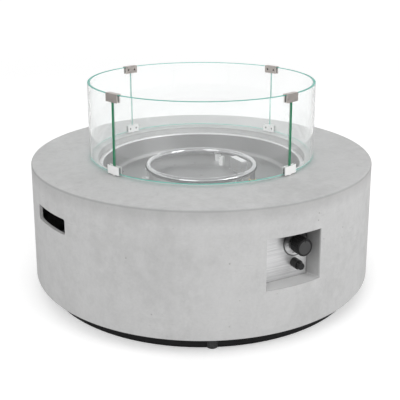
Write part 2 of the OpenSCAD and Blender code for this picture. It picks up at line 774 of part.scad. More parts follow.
// Places of the perforations along a length
function perf_places(l) = let (n = floor((l - 2 * perf_edge) / perf_pitch))
    [for (i = [0:n]) (i - n / 2) * perf_pitch];

// Perforated cover over the electrode and the thermocouple, with a tab at each end
module igniter_guard() color([0.78, 0.78, 0.79]) translate([guard_box_x, guard_box_y, floor_z]) {
    w = guard_box_w;
    l = guard_box_l;
    h = guard_box_h;
    difference() {
        union() {
            translate([-w / 2, -l / 2, 0]) cube([w, l, h]);
            translate([-w / 2, -l / 2 - guard_tab, 0]) cube([w, l + 2 * guard_tab, guard_box_t]);
        }
        translate([-w / 2 + guard_box_t, -l / 2 + guard_box_t, -over])
            cube([w - 2 * guard_box_t, l - 2 * guard_box_t, h - guard_box_t + over]);
        for (y = perf_places(l)) for (z = perf_places(h))
            translate([-w / 2 - over, y, h / 2 + z]) rotate([0, 90, 0])
                cylinder(h = w + 2 * over, r = perf_r, $fn = 16);
        for (x = perf_places(w)) for (z = perf_places(h))
            translate([x, -l / 2 - over, h / 2 + z]) along_y()
                cylinder(h = l + 2 * over, r = perf_r, $fn = 16);
        for (y = [guard_screw_ys[0] - guard_box_y, guard_screw_ys[1] - guard_box_y])
            translate([0, y, -over]) cylinder(h = guard_box_t + 2 * over, r = m4_r + slip);
    }
}

module guard_screws() color([0.8, 0.8, 0.8])
    for (y = guard_screw_ys) translate([guard_box_x, y, floor_z + guard_box_t + seat_gap + running])
        mirror([0, 0, 1]) screw_up(m4_r, screw_grip, head_r - over, head_h - over);

module spark_electrode() color([0.93, 0.92, 0.88]) translate([guard_box_x, electrode_y, floor_z]) {
    translate([0, 0, -under_l]) cylinder(h = under_l + ceramic_h, r = ceramic_r);
    translate([0, 0, running]) cylinder(h = ferrule_h, r = ferrule_r);
    cylinder(h = ceramic_h + tip_h, r = tip_r);
}

module spark_lead() color([0.75, 0.16, 0.12])
    lead([igniter_x, igniter_back + terminal_l, igniter_z], [0, 1, 0],
        [guard_box_x, electrode_y, floor_z - under_l], [0, 0, -1], spark_lead_r, spark_bend_shares, [1, 0, 0]);

module thermocouple() color([0.72, 0.5, 0.34]) translate([guard_box_x, thermo_y, floor_z]) {
    translate([0, 0, -under_l]) cylinder(h = under_l + probe_h - probe_r, r = probe_r);
    translate([0, 0, running]) cylinder(h = ferrule_h, r = ferrule_r);
    translate([0, 0, probe_h - probe_r]) sphere(probe_r);
}

module thermocouple_lead() color([0.72, 0.45, 0.3])
    lead([knob_x - valve_d / 2 - port_boss_l, thermo_port_y, knob_z], [-1, 0, 0],
        [guard_box_x, thermo_y, floor_z - under_l], [0, 0, -1], thermo_lead_r, thermo_bend_shares, [0, 1, 0]);

module control_plate() color([0.8, 0.8, 0.81]) difference() {
    half_w = recess_back_w / 2 + recess_wall;
    half_h = recess_h / 2 + recess_wall;
    translate([-half_w, plate_y, recess_z - half_h]) cube([2 * half_w, plate_t, 2 * half_h]);
    translate([knob_x, plate_y - over, knob_z]) along_y() cylinder(h = plate_t + 2 * over, r = neck_r + slip);
    translate([igniter_x, plate_y - over, igniter_z]) along_y()
        cylinder(h = plate_t + 2 * over, r = igniter_r + slip);
    for (p = plate_screw_places()) translate([p[0], plate_y - over, recess_z + p[1]]) along_y()
        cylinder(h = plate_t + 2 * over, r = m4_r + slip);
}

module plate_screws() color([0.35, 0.35, 0.36])
    for (p = plate_screw_places()) translate([p[0], plate_back + seat_gap, recess_z + p[1]])
        rotate([90, 0, 0]) screw_up(m4_r, plate_t + screw_grip, head_r - over, head_h - over);

// Dished round bezel that covers the valve's nut
module bezel() color([0.83, 0.83, 0.84]) translate([knob_x, plate_y, knob_z]) rotate([90, 0, 0]) {
    r = bezel_d / 2;
    slope_r = r - bezel_rim;
    rotate_extrude() polygon([
        [r, 0], [r, bezel_t], [slope_r + bezel_t, bezel_t], [slope_r - bezel_rim, bezel_h],
        [bezel_hole_r, bezel_h], [bezel_hole_r, bezel_h - bezel_t],
        [slope_r - bezel_rim - bezel_t / 2, bezel_h - bezel_t], [slope_r, 0]]);
}

// The knob: a fluted cap over a hub that fits the stem's flat
module control_knob() color([0.07, 0.07, 0.07]) translate([knob_x, knob_front_y, knob_z]) along_y() {
    r = knob_d / 2;
    difference() {
        rotate_extrude() {
            square([r - knob_edge, knob_l]);
            translate([0, knob_edge]) square([r, knob_l - knob_edge]);
            translate([r - knob_edge, knob_edge]) circle(knob_edge, $fn = screw_fn);
        }
        translate([0, 0, knob_front]) difference() {
            cylinder(h = knob_l, r = r - knob_skin);
            cylinder(h = knob_l, r = knob_hub_r);
        }
        translate([0, 0, knob_l - stem_grip]) difference() {
            cylinder(h = stem_grip + over, r = stem_d / 2 + running);
            translate([-stem_d, -stem_d / 2 - stem_flat, -over])
                cube([2 * stem_d, 2 * stem_flat - running, stem_grip + 3 * over]);
        }
        for (i = [0:flute_count - 1]) rotate([0, 0, 360 * (i + 0.5) / flute_count])
            translate([r + flute_r - flute_sink, 0, 2 * knob_edge])
                cylinder(h = knob_l, r = flute_r, $fn = 24);
        translate([-mark_w / 2, -r - over, -over]) cube([mark_w, mark_l + over, mark_deep + over]);
    }
}

// Stem with a flat at the knob's end and a flange that presses on the thrust collar
module valve_stem() color([0.75, 0.75, 0.76]) {
    front = plate_y - bezel_h - knob_back_gap - stem_grip + slip;
    back = plate_back + stem_in;
    translate([knob_x, front, knob_z]) along_y() difference() {
        union() {
            cylinder(h = back - front, r = stem_d / 2);
            translate([0, 0, stem_flange_y - front]) cylinder(h = stem_flange_t, r = stem_flange_r);
        }
        translate([-stem_d, -stem_d / 2 - stem_flat, -over])
            cube([2 * stem_d, 2 * stem_flat, stem_grip + over]);
    }
}

// Depths of what turns and slides inside the valve
cavity_y = plate_back + valve_front;
stem_flange_y = cavity_y + spring_gap;
collar_y = stem_flange_y + stem_flange_t + spring_gap;
spring_y = collar_y + collar_t + spring_gap;
cavity_end = cavity_y + valve_cavity_l;

module thrust_collar() color([0.6, 0.6, 0.61]) translate([knob_x, collar_y, knob_z]) along_y() difference() {
    cylinder(h = collar_t, r = collar_r);
    translate([0, 0, -over]) cylinder(h = collar_t + 2 * over, r = stem_d / 2 + running);
}

module knob_spring() color([0.6, 0.6, 0.61]) translate([knob_x, spring_y, knob_z]) along_y()
    coil(collar_r - 2 * spring_wire_r, spring_wire_r, cavity_end - spring_y - spring_gap, spring_turns);

module valve_body() color([0.74, 0.66, 0.45]) translate([knob_x, plate_back, knob_z]) difference() {
    union() {
        along_y() cylinder(h = valve_l, r = valve_d / 2);
        translate([0, -plate_t - neck_l, 0]) along_y() cylinder(h = plate_t + neck_l + over, r = neck_r);
        translate([0, valve_l - over, 0]) along_y() cylinder(h = outlet_l + over, r = outlet_r);
        translate([0, pilot_port_y - plate_back, 0]) cylinder(h = valve_d / 2 + port_boss_l, r = port_boss_r);
        translate([0, thermo_port_y - plate_back, 0]) rotate([0, -90, 0])
            cylinder(h = valve_d / 2 + port_boss_l, r = port_boss_r);
        translate([0, inlet_port_y - plate_back, 0]) rotate([0, 90, 0])
            cylinder(h = valve_d / 2 + port_boss_l, r = inlet_boss_r);
    }
    translate([0, -plate_t - neck_l - over, 0]) along_y()
        cylinder(h = neck_l + plate_t + valve_front + 2 * over, r = stem_d / 2 + running);
    translate([0, valve_front, 0]) along_y() cylinder(h = valve_cavity_l, r = valve_cavity_r);
    translate([0, valve_front + valve_cavity_l + over, 0]) along_y()
        cylinder(h = valve_l + outlet_l, r = gas_bore_r);
}

module valve_nut() color([0.72, 0.6, 0.35]) translate([knob_x, plate_y - valve_nut_h, knob_z]) along_y()
    difference() {
        hex(valve_nut_af, valve_nut_h);
        translate([0, 0, -over]) cylinder(h = valve_nut_h + 2 * over, r = neck_r + slip);
    }

// Half elbow on the valve's right side: its male flare points in and down to the open bottom of the drum
module gas_inlet() color([0.72, 0.6, 0.35])
    translate([knob_x + valve_d / 2 + port_boss_l + inlet_arm_l, inlet_port_y, knob_z]) difference() {
        union() {
            translate([-inlet_arm_l, 0, 0]) rotate([0, 90, 0]) cylinder(h = inlet_arm_l, r = inlet_arm_r);
            sphere(inlet_ball_r);
            rotate([inlet_tilt, 0, 0]) {
                cylinder(h = inlet_leg_l, r = inlet_arm_r);
                translate([0, 0, inlet_leg_l]) hex(inlet_hex_af, inlet_hex_h);
                translate([0, 0, inlet_leg_l]) cylinder(h = inlet_hex_h + inlet_l, r = inlet_d / 2);
            }
        }
        sphere(inlet_chamber_r);
        translate([-inlet_arm_l - over, 0, 0]) rotate([0, 90, 0])
            cylinder(h = inlet_arm_l + over, r = gas_bore_r);
        rotate([inlet_tilt, 0, 0])
            cylinder(h = inlet_leg_l + inlet_hex_h + inlet_l + over, r = gas_bore_r);
    }

module igniter_collar() color([0.05, 0.05, 0.05]) translate([igniter_x, plate_y - collar_h, igniter_z])
    along_y() difference() {
        rotate_extrude() difference() {
            union() {
                square([collar_d / 2 - button_edge, collar_h]);
                translate([0, button_edge]) square([collar_d / 2, collar_h - button_edge]);
                translate([collar_d / 2 - button_edge, button_edge]) circle(button_edge, $fn = screw_fn);
            }
            translate([0, -over]) square([button_r + 2 * running, collar_h + 2 * over]);
            translate([0, collar_h - igniter_neck]) square([igniter_r + running, collar_h]);
        }
    }

module igniter_button() color([0.09, 0.09, 0.09])
    translate([igniter_x, plate_y - button_out, igniter_z]) along_y() rotate_extrude() {
        square([button_r - button_edge, button_l]);
        translate([0, button_edge]) square([button_r, button_l - button_edge]);
        translate([button_r - button_edge, button_edge]) circle(button_edge, $fn = screw_fn);
    }

// Depths of what is inside the igniter
igniter_front = plate_y - igniter_neck + running;
igniter_back = igniter_front + igniter_l + igniter_neck;
guide_end = igniter_front + guide_l + igniter_neck / 2;
button_back = plate_y - button_out + button_l;

module igniter_spring() color([0.6, 0.6, 0.61])
    translate([igniter_x, button_back + spring_gap, igniter_z]) along_y()
        coil(button_r - 3 * button_spring_r, button_spring_r, guide_end - button_back - 2 * spring_gap, 4);

module igniter_body() color([0.1, 0.1, 0.1]) translate([igniter_x, igniter_front, igniter_z]) along_y()
    difference() {
        union() {
            cylinder(h = igniter_back - igniter_front, r = igniter_r - running);
            cylinder(h = igniter_back - igniter_front + terminal_l, r = terminal_r);
        }
        translate([0, 0, -over]) cylinder(h = guide_end - igniter_front + over, r = button_r + running);
        cylinder(h = guide_end - igniter_front + battery_l + 2 * seat_gap, r = battery_r + slip);
    }

module igniter_nut() color([0.1, 0.1, 0.1]) translate([igniter_x, plate_back, igniter_z]) along_y()
    difference() {
        hex(igniter_nut_af, igniter_nut_h);
        translate([0, 0, -over]) cylinder(h = igniter_nut_h + 2 * over, r = igniter_r + slip);
    }

module battery() color([0.75, 0.6, 0.3]) translate([igniter_x, guide_end + seat_gap, igniter_z]) along_y()
    cylinder(h = battery_l, r = battery_r);

// One curved panel, from the joint at an azimuth to the next one
module glass_panel(azimuth) {
    gap_angle = glass_gap / guard_r * 180 / PI;
    color([0.75, 0.92, 0.86, 0.35]) rotate([0, 0, azimuth - 90 + gap_angle / 2])
        rotate_extrude(angle = 360 / joint_count - gap_angle, $fn = 192)
            translate([guard_r - glass_t, glass_z]) square([glass_t, glass_h]);
}

module glass_right() glass_panel(guard_turn);
module glass_back() glass_panel(guard_turn + 90);
module glass_left() glass_panel(guard_turn + 180);
module glass_front() glass_panel(guard_turn + 270);

// Sweeps a section round the guard's axis over a clip's length, at each joint
module at_joints(length) {
    angle = length / guard_r * 180 / PI;
    for (i = [0:joint_count - 1]) rotate([0, 0, guard_turn + 360 * i / joint_count - 90 - angle / 2])
        rotate_extrude(angle = angle, $fn = 192) children();
}

module clip_section() {
    translate([clip_in, 0]) square([clip_t, clip_h]);
    translate([guard_r + pad_t, 0]) square([clip_t, clip_h]);
    translate([clip_in, 0]) square([clip_out - clip_in, clip_web]);
}

// Two threaded holes, or the set screws in them, through the clips' inner plates
module screw_pairs(z, r, length, fn) {
    for (i = [0:joint_count - 1]) at(guard_turn + 360 * i / joint_count) for (side = [-1, 1])
        at(side * screw_spread_share * clip_l / guard_r * 180 / PI)
            translate([0, -clip_in - clip_t, z]) along_y() cylinder(h = length, r = r, $fn = fn);
}

top_screw_z = glass_top + clip_web - clip_h / 2;
bottom_screw_z = glass_z - clip_web + clip_h / 2;

module top_clips() color([0.62, 0.6, 0.58]) difference() {
    at_joints(clip_l) translate([0, glass_top + clip_web + seat_gap]) mirror([0, 1]) clip_section();
    screw_pairs(top_screw_z, set_screw_d / 2 + running, clip_t + over, screw_fn);
}

module bottom_clips() color([0.72, 0.71, 0.7]) difference() {
    at_joints(clip_l) translate([0, glass_z - clip_web]) clip_section();
    screw_pairs(bottom_screw_z, set_screw_d / 2 + running, clip_t + over, screw_fn);
}

// Soft pads between the clips and both faces of the glass
module clip_pads() color([0.3, 0.3, 0.3]) {
    pad_h = clip_h - clip_web - clip_t;
    for (z = [glass_top - pad_h, glass_z]) for (r = [guard_r, guard_r - glass_t - pad_t])
        at_joints(clip_l - clip_t) translate([r + running, z]) square([pad_t - 2 * running, pad_h]);
}

module clip_screws() color([0.35, 0.3, 0.26]) difference() {
    for (z = [top_screw_z, bottom_screw_z]) screw_pairs(z, set_screw_d / 2, clip_t, screw_fn);
    for (z = [top_screw_z, bottom_screw_z]) screw_sockets(z);
}

// Hexagon sockets in the ends of the set screws that face the fire
module screw_sockets(z) {
    for (i = [0:joint_count - 1]) at(guard_turn + 360 * i / joint_count) for (side = [-1, 1])
        at(side * screw_spread_share * clip_l / guard_r * 180 / PI)
            translate([0, -clip_in - socket_deep, z]) along_y() hex(socket_af, socket_deep + over);
}

module guard_feet() color([0.75, 0.75, 0.74])
    for (i = [0:joint_count - 1]) at(guard_turn + 360 * i / joint_count)
        translate([0, -guard_r + glass_t / 2, top_z + seat_gap]) rotate_extrude() {
            square([guard_foot_r - guard_foot_edge, guard_foot_h]);
            translate([0, guard_foot_edge]) square([guard_foot_r, guard_foot_h - guard_foot_edge]);
            translate([guard_foot_r - guard_foot_edge, guard_foot_edge])
                circle(guard_foot_edge, $fn = screw_fn);
        }

drum_shell();
base_ring();
base_screws();
feet();
foot_screws();
seat_ring();
seat_screws();
fire_pan();
hold_down_clips();
hold_down_bolts();
hold_down_nuts();
burner_ring();
ring_brackets();
bracket_rivets();
riser_tube();
riser_nuts();
air_mixer();
jet_elbow();
burner_hose();
pilot_burner();
pilot_nut();
pilot_line();
igniter_guard();
guard_screws();
spark_electrode();
spark_lead();
thermocouple();
thermocouple_lead();
control_plate();
plate_screws();
bezel();
control_knob();
valve_stem();
thrust_collar();
knob_spring();
valve_body();
valve_nut();
gas_inlet();
igniter_collar();
igniter_button();
igniter_spring();
igniter_body();
igniter_nut();
battery();
glass_front();
glass_right();
glass_back();
glass_left();
top_clips();
bottom_clips();
clip_pads();
clip_screws();
guard_feet();
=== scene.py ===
import json
import math

import bmesh
import bpy
from mathutils import Matrix, Vector


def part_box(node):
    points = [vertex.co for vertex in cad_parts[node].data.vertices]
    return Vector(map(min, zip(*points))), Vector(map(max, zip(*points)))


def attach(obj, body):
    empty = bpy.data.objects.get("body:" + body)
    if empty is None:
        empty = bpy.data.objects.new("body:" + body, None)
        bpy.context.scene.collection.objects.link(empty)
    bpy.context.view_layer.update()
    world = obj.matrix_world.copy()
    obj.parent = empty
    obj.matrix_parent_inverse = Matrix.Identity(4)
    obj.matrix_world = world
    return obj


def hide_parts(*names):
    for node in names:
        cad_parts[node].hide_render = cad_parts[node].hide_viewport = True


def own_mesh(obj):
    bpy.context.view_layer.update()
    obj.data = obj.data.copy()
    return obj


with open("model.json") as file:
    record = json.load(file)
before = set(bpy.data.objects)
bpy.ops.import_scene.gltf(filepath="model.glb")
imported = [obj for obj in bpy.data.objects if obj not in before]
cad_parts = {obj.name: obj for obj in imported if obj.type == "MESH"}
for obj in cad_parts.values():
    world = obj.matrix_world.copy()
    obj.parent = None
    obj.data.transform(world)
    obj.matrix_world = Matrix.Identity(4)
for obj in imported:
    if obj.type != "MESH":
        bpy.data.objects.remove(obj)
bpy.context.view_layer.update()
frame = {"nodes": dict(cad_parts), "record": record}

bl_info = {
    "name": "Round fire pit table",
    "version": (1, 0, 0),
    "blender": (4, 5, 0),
    "location": "View3D > Sidebar > Fire table",
    "description": "Dresses a packed round concrete fire pit table with detailed pieces and materials",
    "category": "Object",
}

# ---- Sizes, in metres, with the floor at z = 0 and the drum's axis on Z; turns are in degrees where nothing
# makes them radians

NODES = frame["nodes"]
BODY_OF = {node: body for body, nodes in frame["record"]["behaviour"]["bodies"].items() for node in nodes}

# the concrete drum, its opening, the seat of the pan and the lip round its foot
DRUM_FOOT_Z, TOP_Z = (corner.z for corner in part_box("drum_shell"))
DRUM_R = 0.5328
WALL = 0.010
OPENING_R = 0.3275
SEAT_Z = TOP_Z - 0.022
LIP_R, LIP_Z = DRUM_R - 0.076, DRUM_FOOT_Z + 0.014

# the control recess, which tapers towards the plate, and the handle slots
PLATE_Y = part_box("control_plate")[0].y
RECESS_LOW, RECESS_HIGH = TOP_Z - 0.160 - 0.071, TOP_Z - 0.160 + 0.071
MOUTH_HALF, TAPER = 0.085, 0.015
MOUTH_Y = -math.sqrt(DRUM_R ** 2 - MOUTH_HALF ** 2)
OUTSIDE_Y, TUNNEL_Y, INSIDE_Y = -0.545, -0.522, -0.495
TUNNEL_WALL = 0.012
SLOT_Z = TOP_Z - 0.106
SLOT_W, SLOT_H, SLOT_ROUNDING = 0.160, 0.045, 0.006
SLOT_TURNS = (-80, 100)

# the feet and all the screws
FEET_TURN = -24
FOOT_CIRCLE_R, FOOT_R, FOOT_GROOVE_R, FOOT_BORE_R = 0.487, 0.0165, 0.0158, 0.006
SCREW_R, SCREW_TIP, HEAD_R, HEAD_H, SOCKET_R = 0.0025, 0.0006, 0.0048, 0.0032, 0.00174
BASE_SCREW_R, SEAT_SCREW_R = DRUM_R - 0.052, OPENING_R + 0.020 - 0.0063

# the fire pan, with the places of what stands in it and its holes
PAN_T = 0.0015
PAN_MOUTH_R, PAN_FLOOR_R = 0.316, 0.281
PAN_EDGE_R = PAN_MOUTH_R + 0.010
PAN_FLOOR_Z = TOP_Z - 0.080
RING_R = 0.171
RISER_TURN = math.radians(43)
RISER_AT = (RING_R * math.sin(RISER_TURN), -RING_R * math.cos(RISER_TURN))
PILOT_AT, SPARK_AT, THERMO_AT = (0.114, 0.069), (0.126, -0.0405), (0.126, -0.0055)
DRAIN_COUNT, DRAIN_TURN, DRAIN_LEFT_OUT = 12, 12, 2
DRAIN_R, DRAIN_CIRCLE_R, CENTRE_DRAIN_R = 0.003, 0.144, 0.004
HOLE_R = {RISER_AT: 0.0081, PILOT_AT: 0.0051, SPARK_AT: 0.0031, THERMO_AT: 0.0026}
HOLD_DOWN_R, HOLD_DOWN_TURN = 0.258, -35

# the knob, the push igniter, the valve behind them and the leads
KNOB = Vector((0.033, 0.0, TOP_Z - 0.134))
KNOB_BORE_R, KNOB_BORE_L, KNOB_HUB_R, KNOB_SKIN = 0.00405, 0.016, 0.008, 0.004
IGNITER = Vector((0.030, 0.0, TOP_Z - 0.190))
VALVE_OUTLET_Y, VALVE_PORT_Y = PLATE_Y + 0.0015 + 0.056, PLATE_Y + 0.0015 + 0.030
VALVE_HALF = 0.025
KNOB_TRAVEL, BUTTON_TRAVEL = 0.005, 0.004
HOSE_R, PILOT_LINE_R, SPARK_LEAD_R, THERMO_LEAD_R = 0.006, 0.003, 0.0022, 0.0015

# the wind guard
GUARD_R, GLASS_T, GLASS_GAP = 0.355, 0.008, 0.002
GLASS_LOW, GLASS_HIGH = (corner.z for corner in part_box("glass_front"))
GUARD_TURN = math.radians(18)
JOINT_REACH = 0.0045  # how far a joint's colour reaches into a pane, in radians

FRAME_WIDTH = 400  # pixels
SENSOR = 36.0  # millimetres


# ---- Meshes

def mesh_object(name, bm):
    """Turns a bmesh into an object of its own."""
    mesh = bpy.data.meshes.new(name)
    bm.to_mesh(mesh)
    bm.free()
    obj = bpy.data.objects.new(name, mesh)
    bpy.context.scene.collection.objects.link(obj)
    return obj


def rounded(corners, steps=6):
    """A closed outline in R and Z: each corner is (r, z, radius of its rounding)."""
    outline = []
    count = len(corners)
    for i, (x, z, radius) in enumerate(corners):
        here = Vector((x, z))
        if radius <= 0:
            outline.append((x, z))
            continue
        back = (Vector(corners[i - 1][:2]) - here).normalized()
        ahead = (Vector(corners[(i + 1) % count][:2]) - here).normalized()
        half = back.angle(ahead) / 2
        reach = radius / math.tan(half)
        centre = here + (back + ahead).normalized() * radius / math.sin(half)
        start, end = here + back * reach - centre, here + ahead * reach - centre
        turn = start.angle_signed(end)
        for k in range(steps + 1):
            spot = start.copy()
            spot.rotate(Matrix.Rotation(-turn * k / steps, 2))
            outline.append(tuple(centre + spot))
    return outline


def walled(bm, a, b):
    """Joins two closed loops of points with faces."""
    for i in range(len(a)):
        j = (i + 1) % len(a)
        bm.faces.new((a[i], a[j], b[j], b[i]))


def healed(bm):
    """Merges doubled points, drops faces without area and turns the others outwards."""
    bmesh.ops.remove_doubles(bm, verts=bm.verts, dist=1e-7)
    bmesh.ops.dissolve_degenerate(bm, edges=bm.edges, dist=1e-8)
    bmesh.ops.recalc_face_normals(bm, faces=bm.faces)
    return bm


def revolved(outline, segments, centre=(0.0, 0.0)):
    """A bmesh spun round Z from an outline in R and Z."""
    bm = bmesh.new()
    rings = []
    for s in range(segments):
        angle = 2 * math.pi * s / segments
        x, y = math.sin(angle), -math.cos(angle)
        rings.append([bm.verts.new((centre[0] + r * x, centre[1] + r * y, z)) for r, z in outline])
    for s in range(segments):
        walled(bm, rings[s], rings[(s + 1) % segments])
    return healed(bm)


def prism(outline, low, high, axis="Z"):
    """A bmesh drawn out from a flat outline between two heights, along Z or along Y."""
    bm = bmesh.new()
    ends = [[bm.verts.new((x, y, t) if axis == "Z" else (x, t, y)) for x, y in outline] for t in (low, high)]
    walled(bm, *ends)
    for end in ends:
        bm.faces.new(end)
    bmesh.ops.recalc_face_normals(bm, faces=bm.faces)
    return bm


def along_y(place):
    """The move that lays a shape that stands on Z along Y, with its foot at a place."""
    return Matrix.Translation(place) @ Matrix.Rotation(math.radians(-90), 4, "X")


def baked(obj):
    """Applies all the modifiers of a piece to its mesh."""
    bpy.context.view_layer.update()
    graph = bpy.context.evaluated_depsgraph_get()
    mesh = bpy.data.meshes.new_from_object(obj.evaluated_get(graph), depsgraph=graph)
    old = obj.data
    obj.modifiers.clear()
    obj.data = mesh
    if old.users == 0:
        bpy.data.meshes.remove(old)
    return obj


def carve(obj, cutter, operation="DIFFERENCE"):
    """Cuts a piece with another, or joins the two, and clears the other away."""
    cut = obj.modifiers.new("cut", "BOOLEAN")
    cut.operation = operation
    cut.solver = "EXACT"
    cut.object = cutter
    baked(obj)
    mesh = cutter.data
    bpy.data.objects.remove(cutter)
    bpy.data.meshes.remove(mesh)


def soften(obj, width, segments=2):
    """Rounds the sharp edges of a piece."""
    bevel = obj.modifiers.new("edges", "BEVEL")
    bevel.width = width
    bevel.segments = segments
    bevel.limit_method = "ANGLE"
    bevel.angle_limit = math.radians(40)
    bevel.use_clamp_overlap = True
    baked(obj)


def smooth(obj, limit=35, weighted=True):
    """Shades a piece smooth up to an angle between its faces."""
    mesh = obj.data
    mesh.polygons.foreach_set("use_smooth", [True] * len(mesh.polygons))
    mesh.set_sharp_from_angle(angle=math.radians(limit))
    if weighted:
        normals = obj.modifiers.new("normals", "WEIGHTED_NORMAL")
        normals.keep_sharp = True
        baked(obj)


def finished(obj, node, *looks):
    """Gives a piece its finishes, and the body and the place of the node that it stands for."""
    obj.data.materials.clear()
    for look in looks:
        obj.data.materials.append(finish_of(look))
    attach(obj, BODY_OF[node])
    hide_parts(node)
    return obj


def dressed(node, look, width=0.0, limit=35):
    """A node's own shape with merged faces, rounded edges and smooth shading."""
    bm = bmesh.new()
    bm.from_mesh(NODES[node].data)
    bmesh.ops.remove_doubles(bm, verts=bm.verts, dist=2e-6)
    bmesh.ops.dissolve_limit(bm, angle_limit=math.radians(0.4), verts=bm.verts, edges=bm.edges)
    obj = mesh_object(node + "_dressed", bm)
    if width:
        soften(obj, width)
    smooth(obj, limit)
    return finished(obj, node, look)


def dress_each(*rows):
    """Dresses several nodes: a row holds a node, its finish, its edges' rounding and its smooth limit."""
    for row in rows:
        dressed(*row)


def screw(length):
    """A pan head screw that points up from its head's underside at z = 0, with a hexagon socket."""
    outline = [(0.0, length), (SCREW_R - SCREW_TIP, length), (SCREW_R, length - SCREW_TIP), (SCREW_R, 0.0),
               (HEAD_R, 0.0)]
    for k in range(1, 7):
        angle = math.radians(15 * k)
        drop = HEAD_H * 0.5 * (1 - math.cos(angle))
        outline.append((HEAD_R - drop, -HEAD_H * 0.45 - HEAD_H * 0.55 * math.sin(angle)))
    outline.append((0.0, -HEAD_H))
    obj = mesh_object("screw", revolved(outline, 32))
    hexagon = [(SOCKET_R * math.cos(a), SOCKET_R * math.sin(a)) for a in (math.pi * k / 3 for k in range(6))]
    carve(obj, mesh_object("socket", prism(hexagon, -HEAD_H - 0.001, -HEAD_H + 0.002)))
    return obj


def screw_ring(node, length, radius, z, count, first, head_up=False):
    """Repeats a screw round the table's axis, from a first angle in degrees, in the place of a node."""
    part = screw(length)
    if head_up:
        part.data.transform(Matrix.Rotation(math.pi, 4, "X"))
    part.data.transform(Matrix.Translation((0.0, -radius, z)))
    smooth(grown(part, ring_tree, "zinc", Count=count, First_angle=math.radians(first)), 40)
    part.name = node + "_set"
    finished(part, node, "zinc")


def path_object(name, points):
    """A line of points as a mesh of edges, for a tree to run a tube along."""
    bm = bmesh.new()
    verts = [bm.verts.new(p) for p in points]
    for a, b in zip(verts, verts[1:]):
        bm.edges.new((a, b))
    return mesh_object(name, bm)


def lead_path(start, leave, end, arrive, radius, shares, steps=56):
    """The route of a lead along given directions at its ends, with a short straight stub at each."""
    start, leave, end, arrive = Vector(start), Vector(leave), Vector(end), Vector(arrive)
    p0, p1 = start + leave * 2 * radius, end + arrive * 2 * radius
    span = (p1 - p0).length
    a, b = p0 + leave * span * shares[0], p1 + arrive * span * shares[1]
    bends = []
    for i in range(steps + 1):
        t = i / steps
        s = 1 - t
        bends.append(s ** 3 * p0 + 3 * s * s * t * a + 3 * s * t * t * b + t ** 3 * p1)
    return [start] + bends + [end]


# ---- Node trees

class Tree:
    """Adds nodes to a tree: each value is a number or the socket it comes from."""

    def __init__(self, tree):
        self.tree = tree

    def add(self, kind, values=None, **settings):
        node = self.tree.nodes.new(kind)
        for key, value in settings.items():
            setattr(node, key, value)
        for key, value in (values or {}).items():
            if isinstance(value, bpy.types.NodeSocket):
                self.tree.links.new(value, node.inputs[key])
            else:
                node.inputs[key].default_value = value
        return node

    def math(self, operation, a, b=0.0, c=0.0):
        return self.add("ShaderNodeMath", {0: a, 1: b, 2: c}, operation=operation).outputs[0]

    def product(self, first, *others):
        for other in others:
            first = self.math("MULTIPLY", first, other)
        return first

    def reach(self, a, b):
        """Length of the two legs a and b."""
        return self.math("SQRT", self.math("ADD", self.product(a, a), self.product(b, b)))

    def ramp(self, value, low, high, to_low=0.0, to_high=1.0):
        """Carries a value from one range over to another and stops at its ends."""
        values = {"Value": value, "From Min": low, "From Max": high, "To Min": to_low, "To Max": to_high}
        return self.add("ShaderNodeMapRange", values, clamp=True).outputs[0]

    def mix(self, share, low, high):
        return self.add("ShaderNodeMix", {0: share, 2: low, 3: high}, data_type="FLOAT").outputs[0]

    def noise(self, vector, scale, detail=3.0, roughness=0.55):
        values = {"Vector": vector, "Scale": scale, "Detail": detail, "Roughness": roughness}
        return self.add("ShaderNodeTexNoise", values).outputs[0]

    def parts(self, vector):
        return self.add("ShaderNodeSeparateXYZ", {0: vector}).outputs

    def normal(self):
        return self.add("ShaderNodeNewGeometry").outputs["Normal"]

    def circle(self, sides, radius):
        values = {"Resolution": sides, "Radius": radius}
        return self.add("GeometryNodeCurvePrimitiveCircle", values).outputs[0]

    def swept(self, curve, section, caps=True):
        values = {"Curve": curve, "Profile Curve": section, "Fill Caps": caps}
        return self.add("GeometryNodeCurveToMesh", values).outputs[0]

    def close(self, inputs, geometry):
        """Ends a geometry tree in Realize Instances and Set Material."""
        real = self.add("GeometryNodeRealizeInstances", {0: geometry})
        values = {"Geometry": real.outputs[0], "Material": inputs["Finish"]}
        painted = self.add("GeometryNodeSetMaterial", values)
        self.add("NodeGroupOutput", {0: painted.outputs[0]})
        return self.tree


def geometry_tree(name, **sockets):
    """A geometry tree with named inputs and a finish: returns its builder and its inputs."""
    tree = bpy.data.node_groups.new(name, "GeometryNodeTree")
    tree.interface.new_socket(name="Geometry", in_out="OUTPUT", socket_type="NodeSocketGeometry")
    for label, kind in {**sockets, "Finish": "Material"}.items():
        tree.interface.new_socket(name=label.replace("_", " "), in_out="INPUT",
                                  socket_type="NodeSocket" + kind)
    build = Tree(tree)
    return build, build.add("NodeGroupInput").outputs


TREES = {}


def grown(obj, maker, look, **values):
    """Runs a geometry tree on a piece and keeps the plain mesh that it makes."""
    if maker not in TREES:
        TREES[maker] = maker()
    tree = TREES[maker]
    grow = obj.modifiers.new(tree.name, "NODES")
    grow.node_group = tree
    names = {item.name: item.identifier for item in tree.interface.items_tree if item.in_out == "INPUT"}
    for label, value in {**values, "Finish": finish_of(look)}.items():
        grow[names[label.replace("_", " ")]] = value
    return baked(obj)


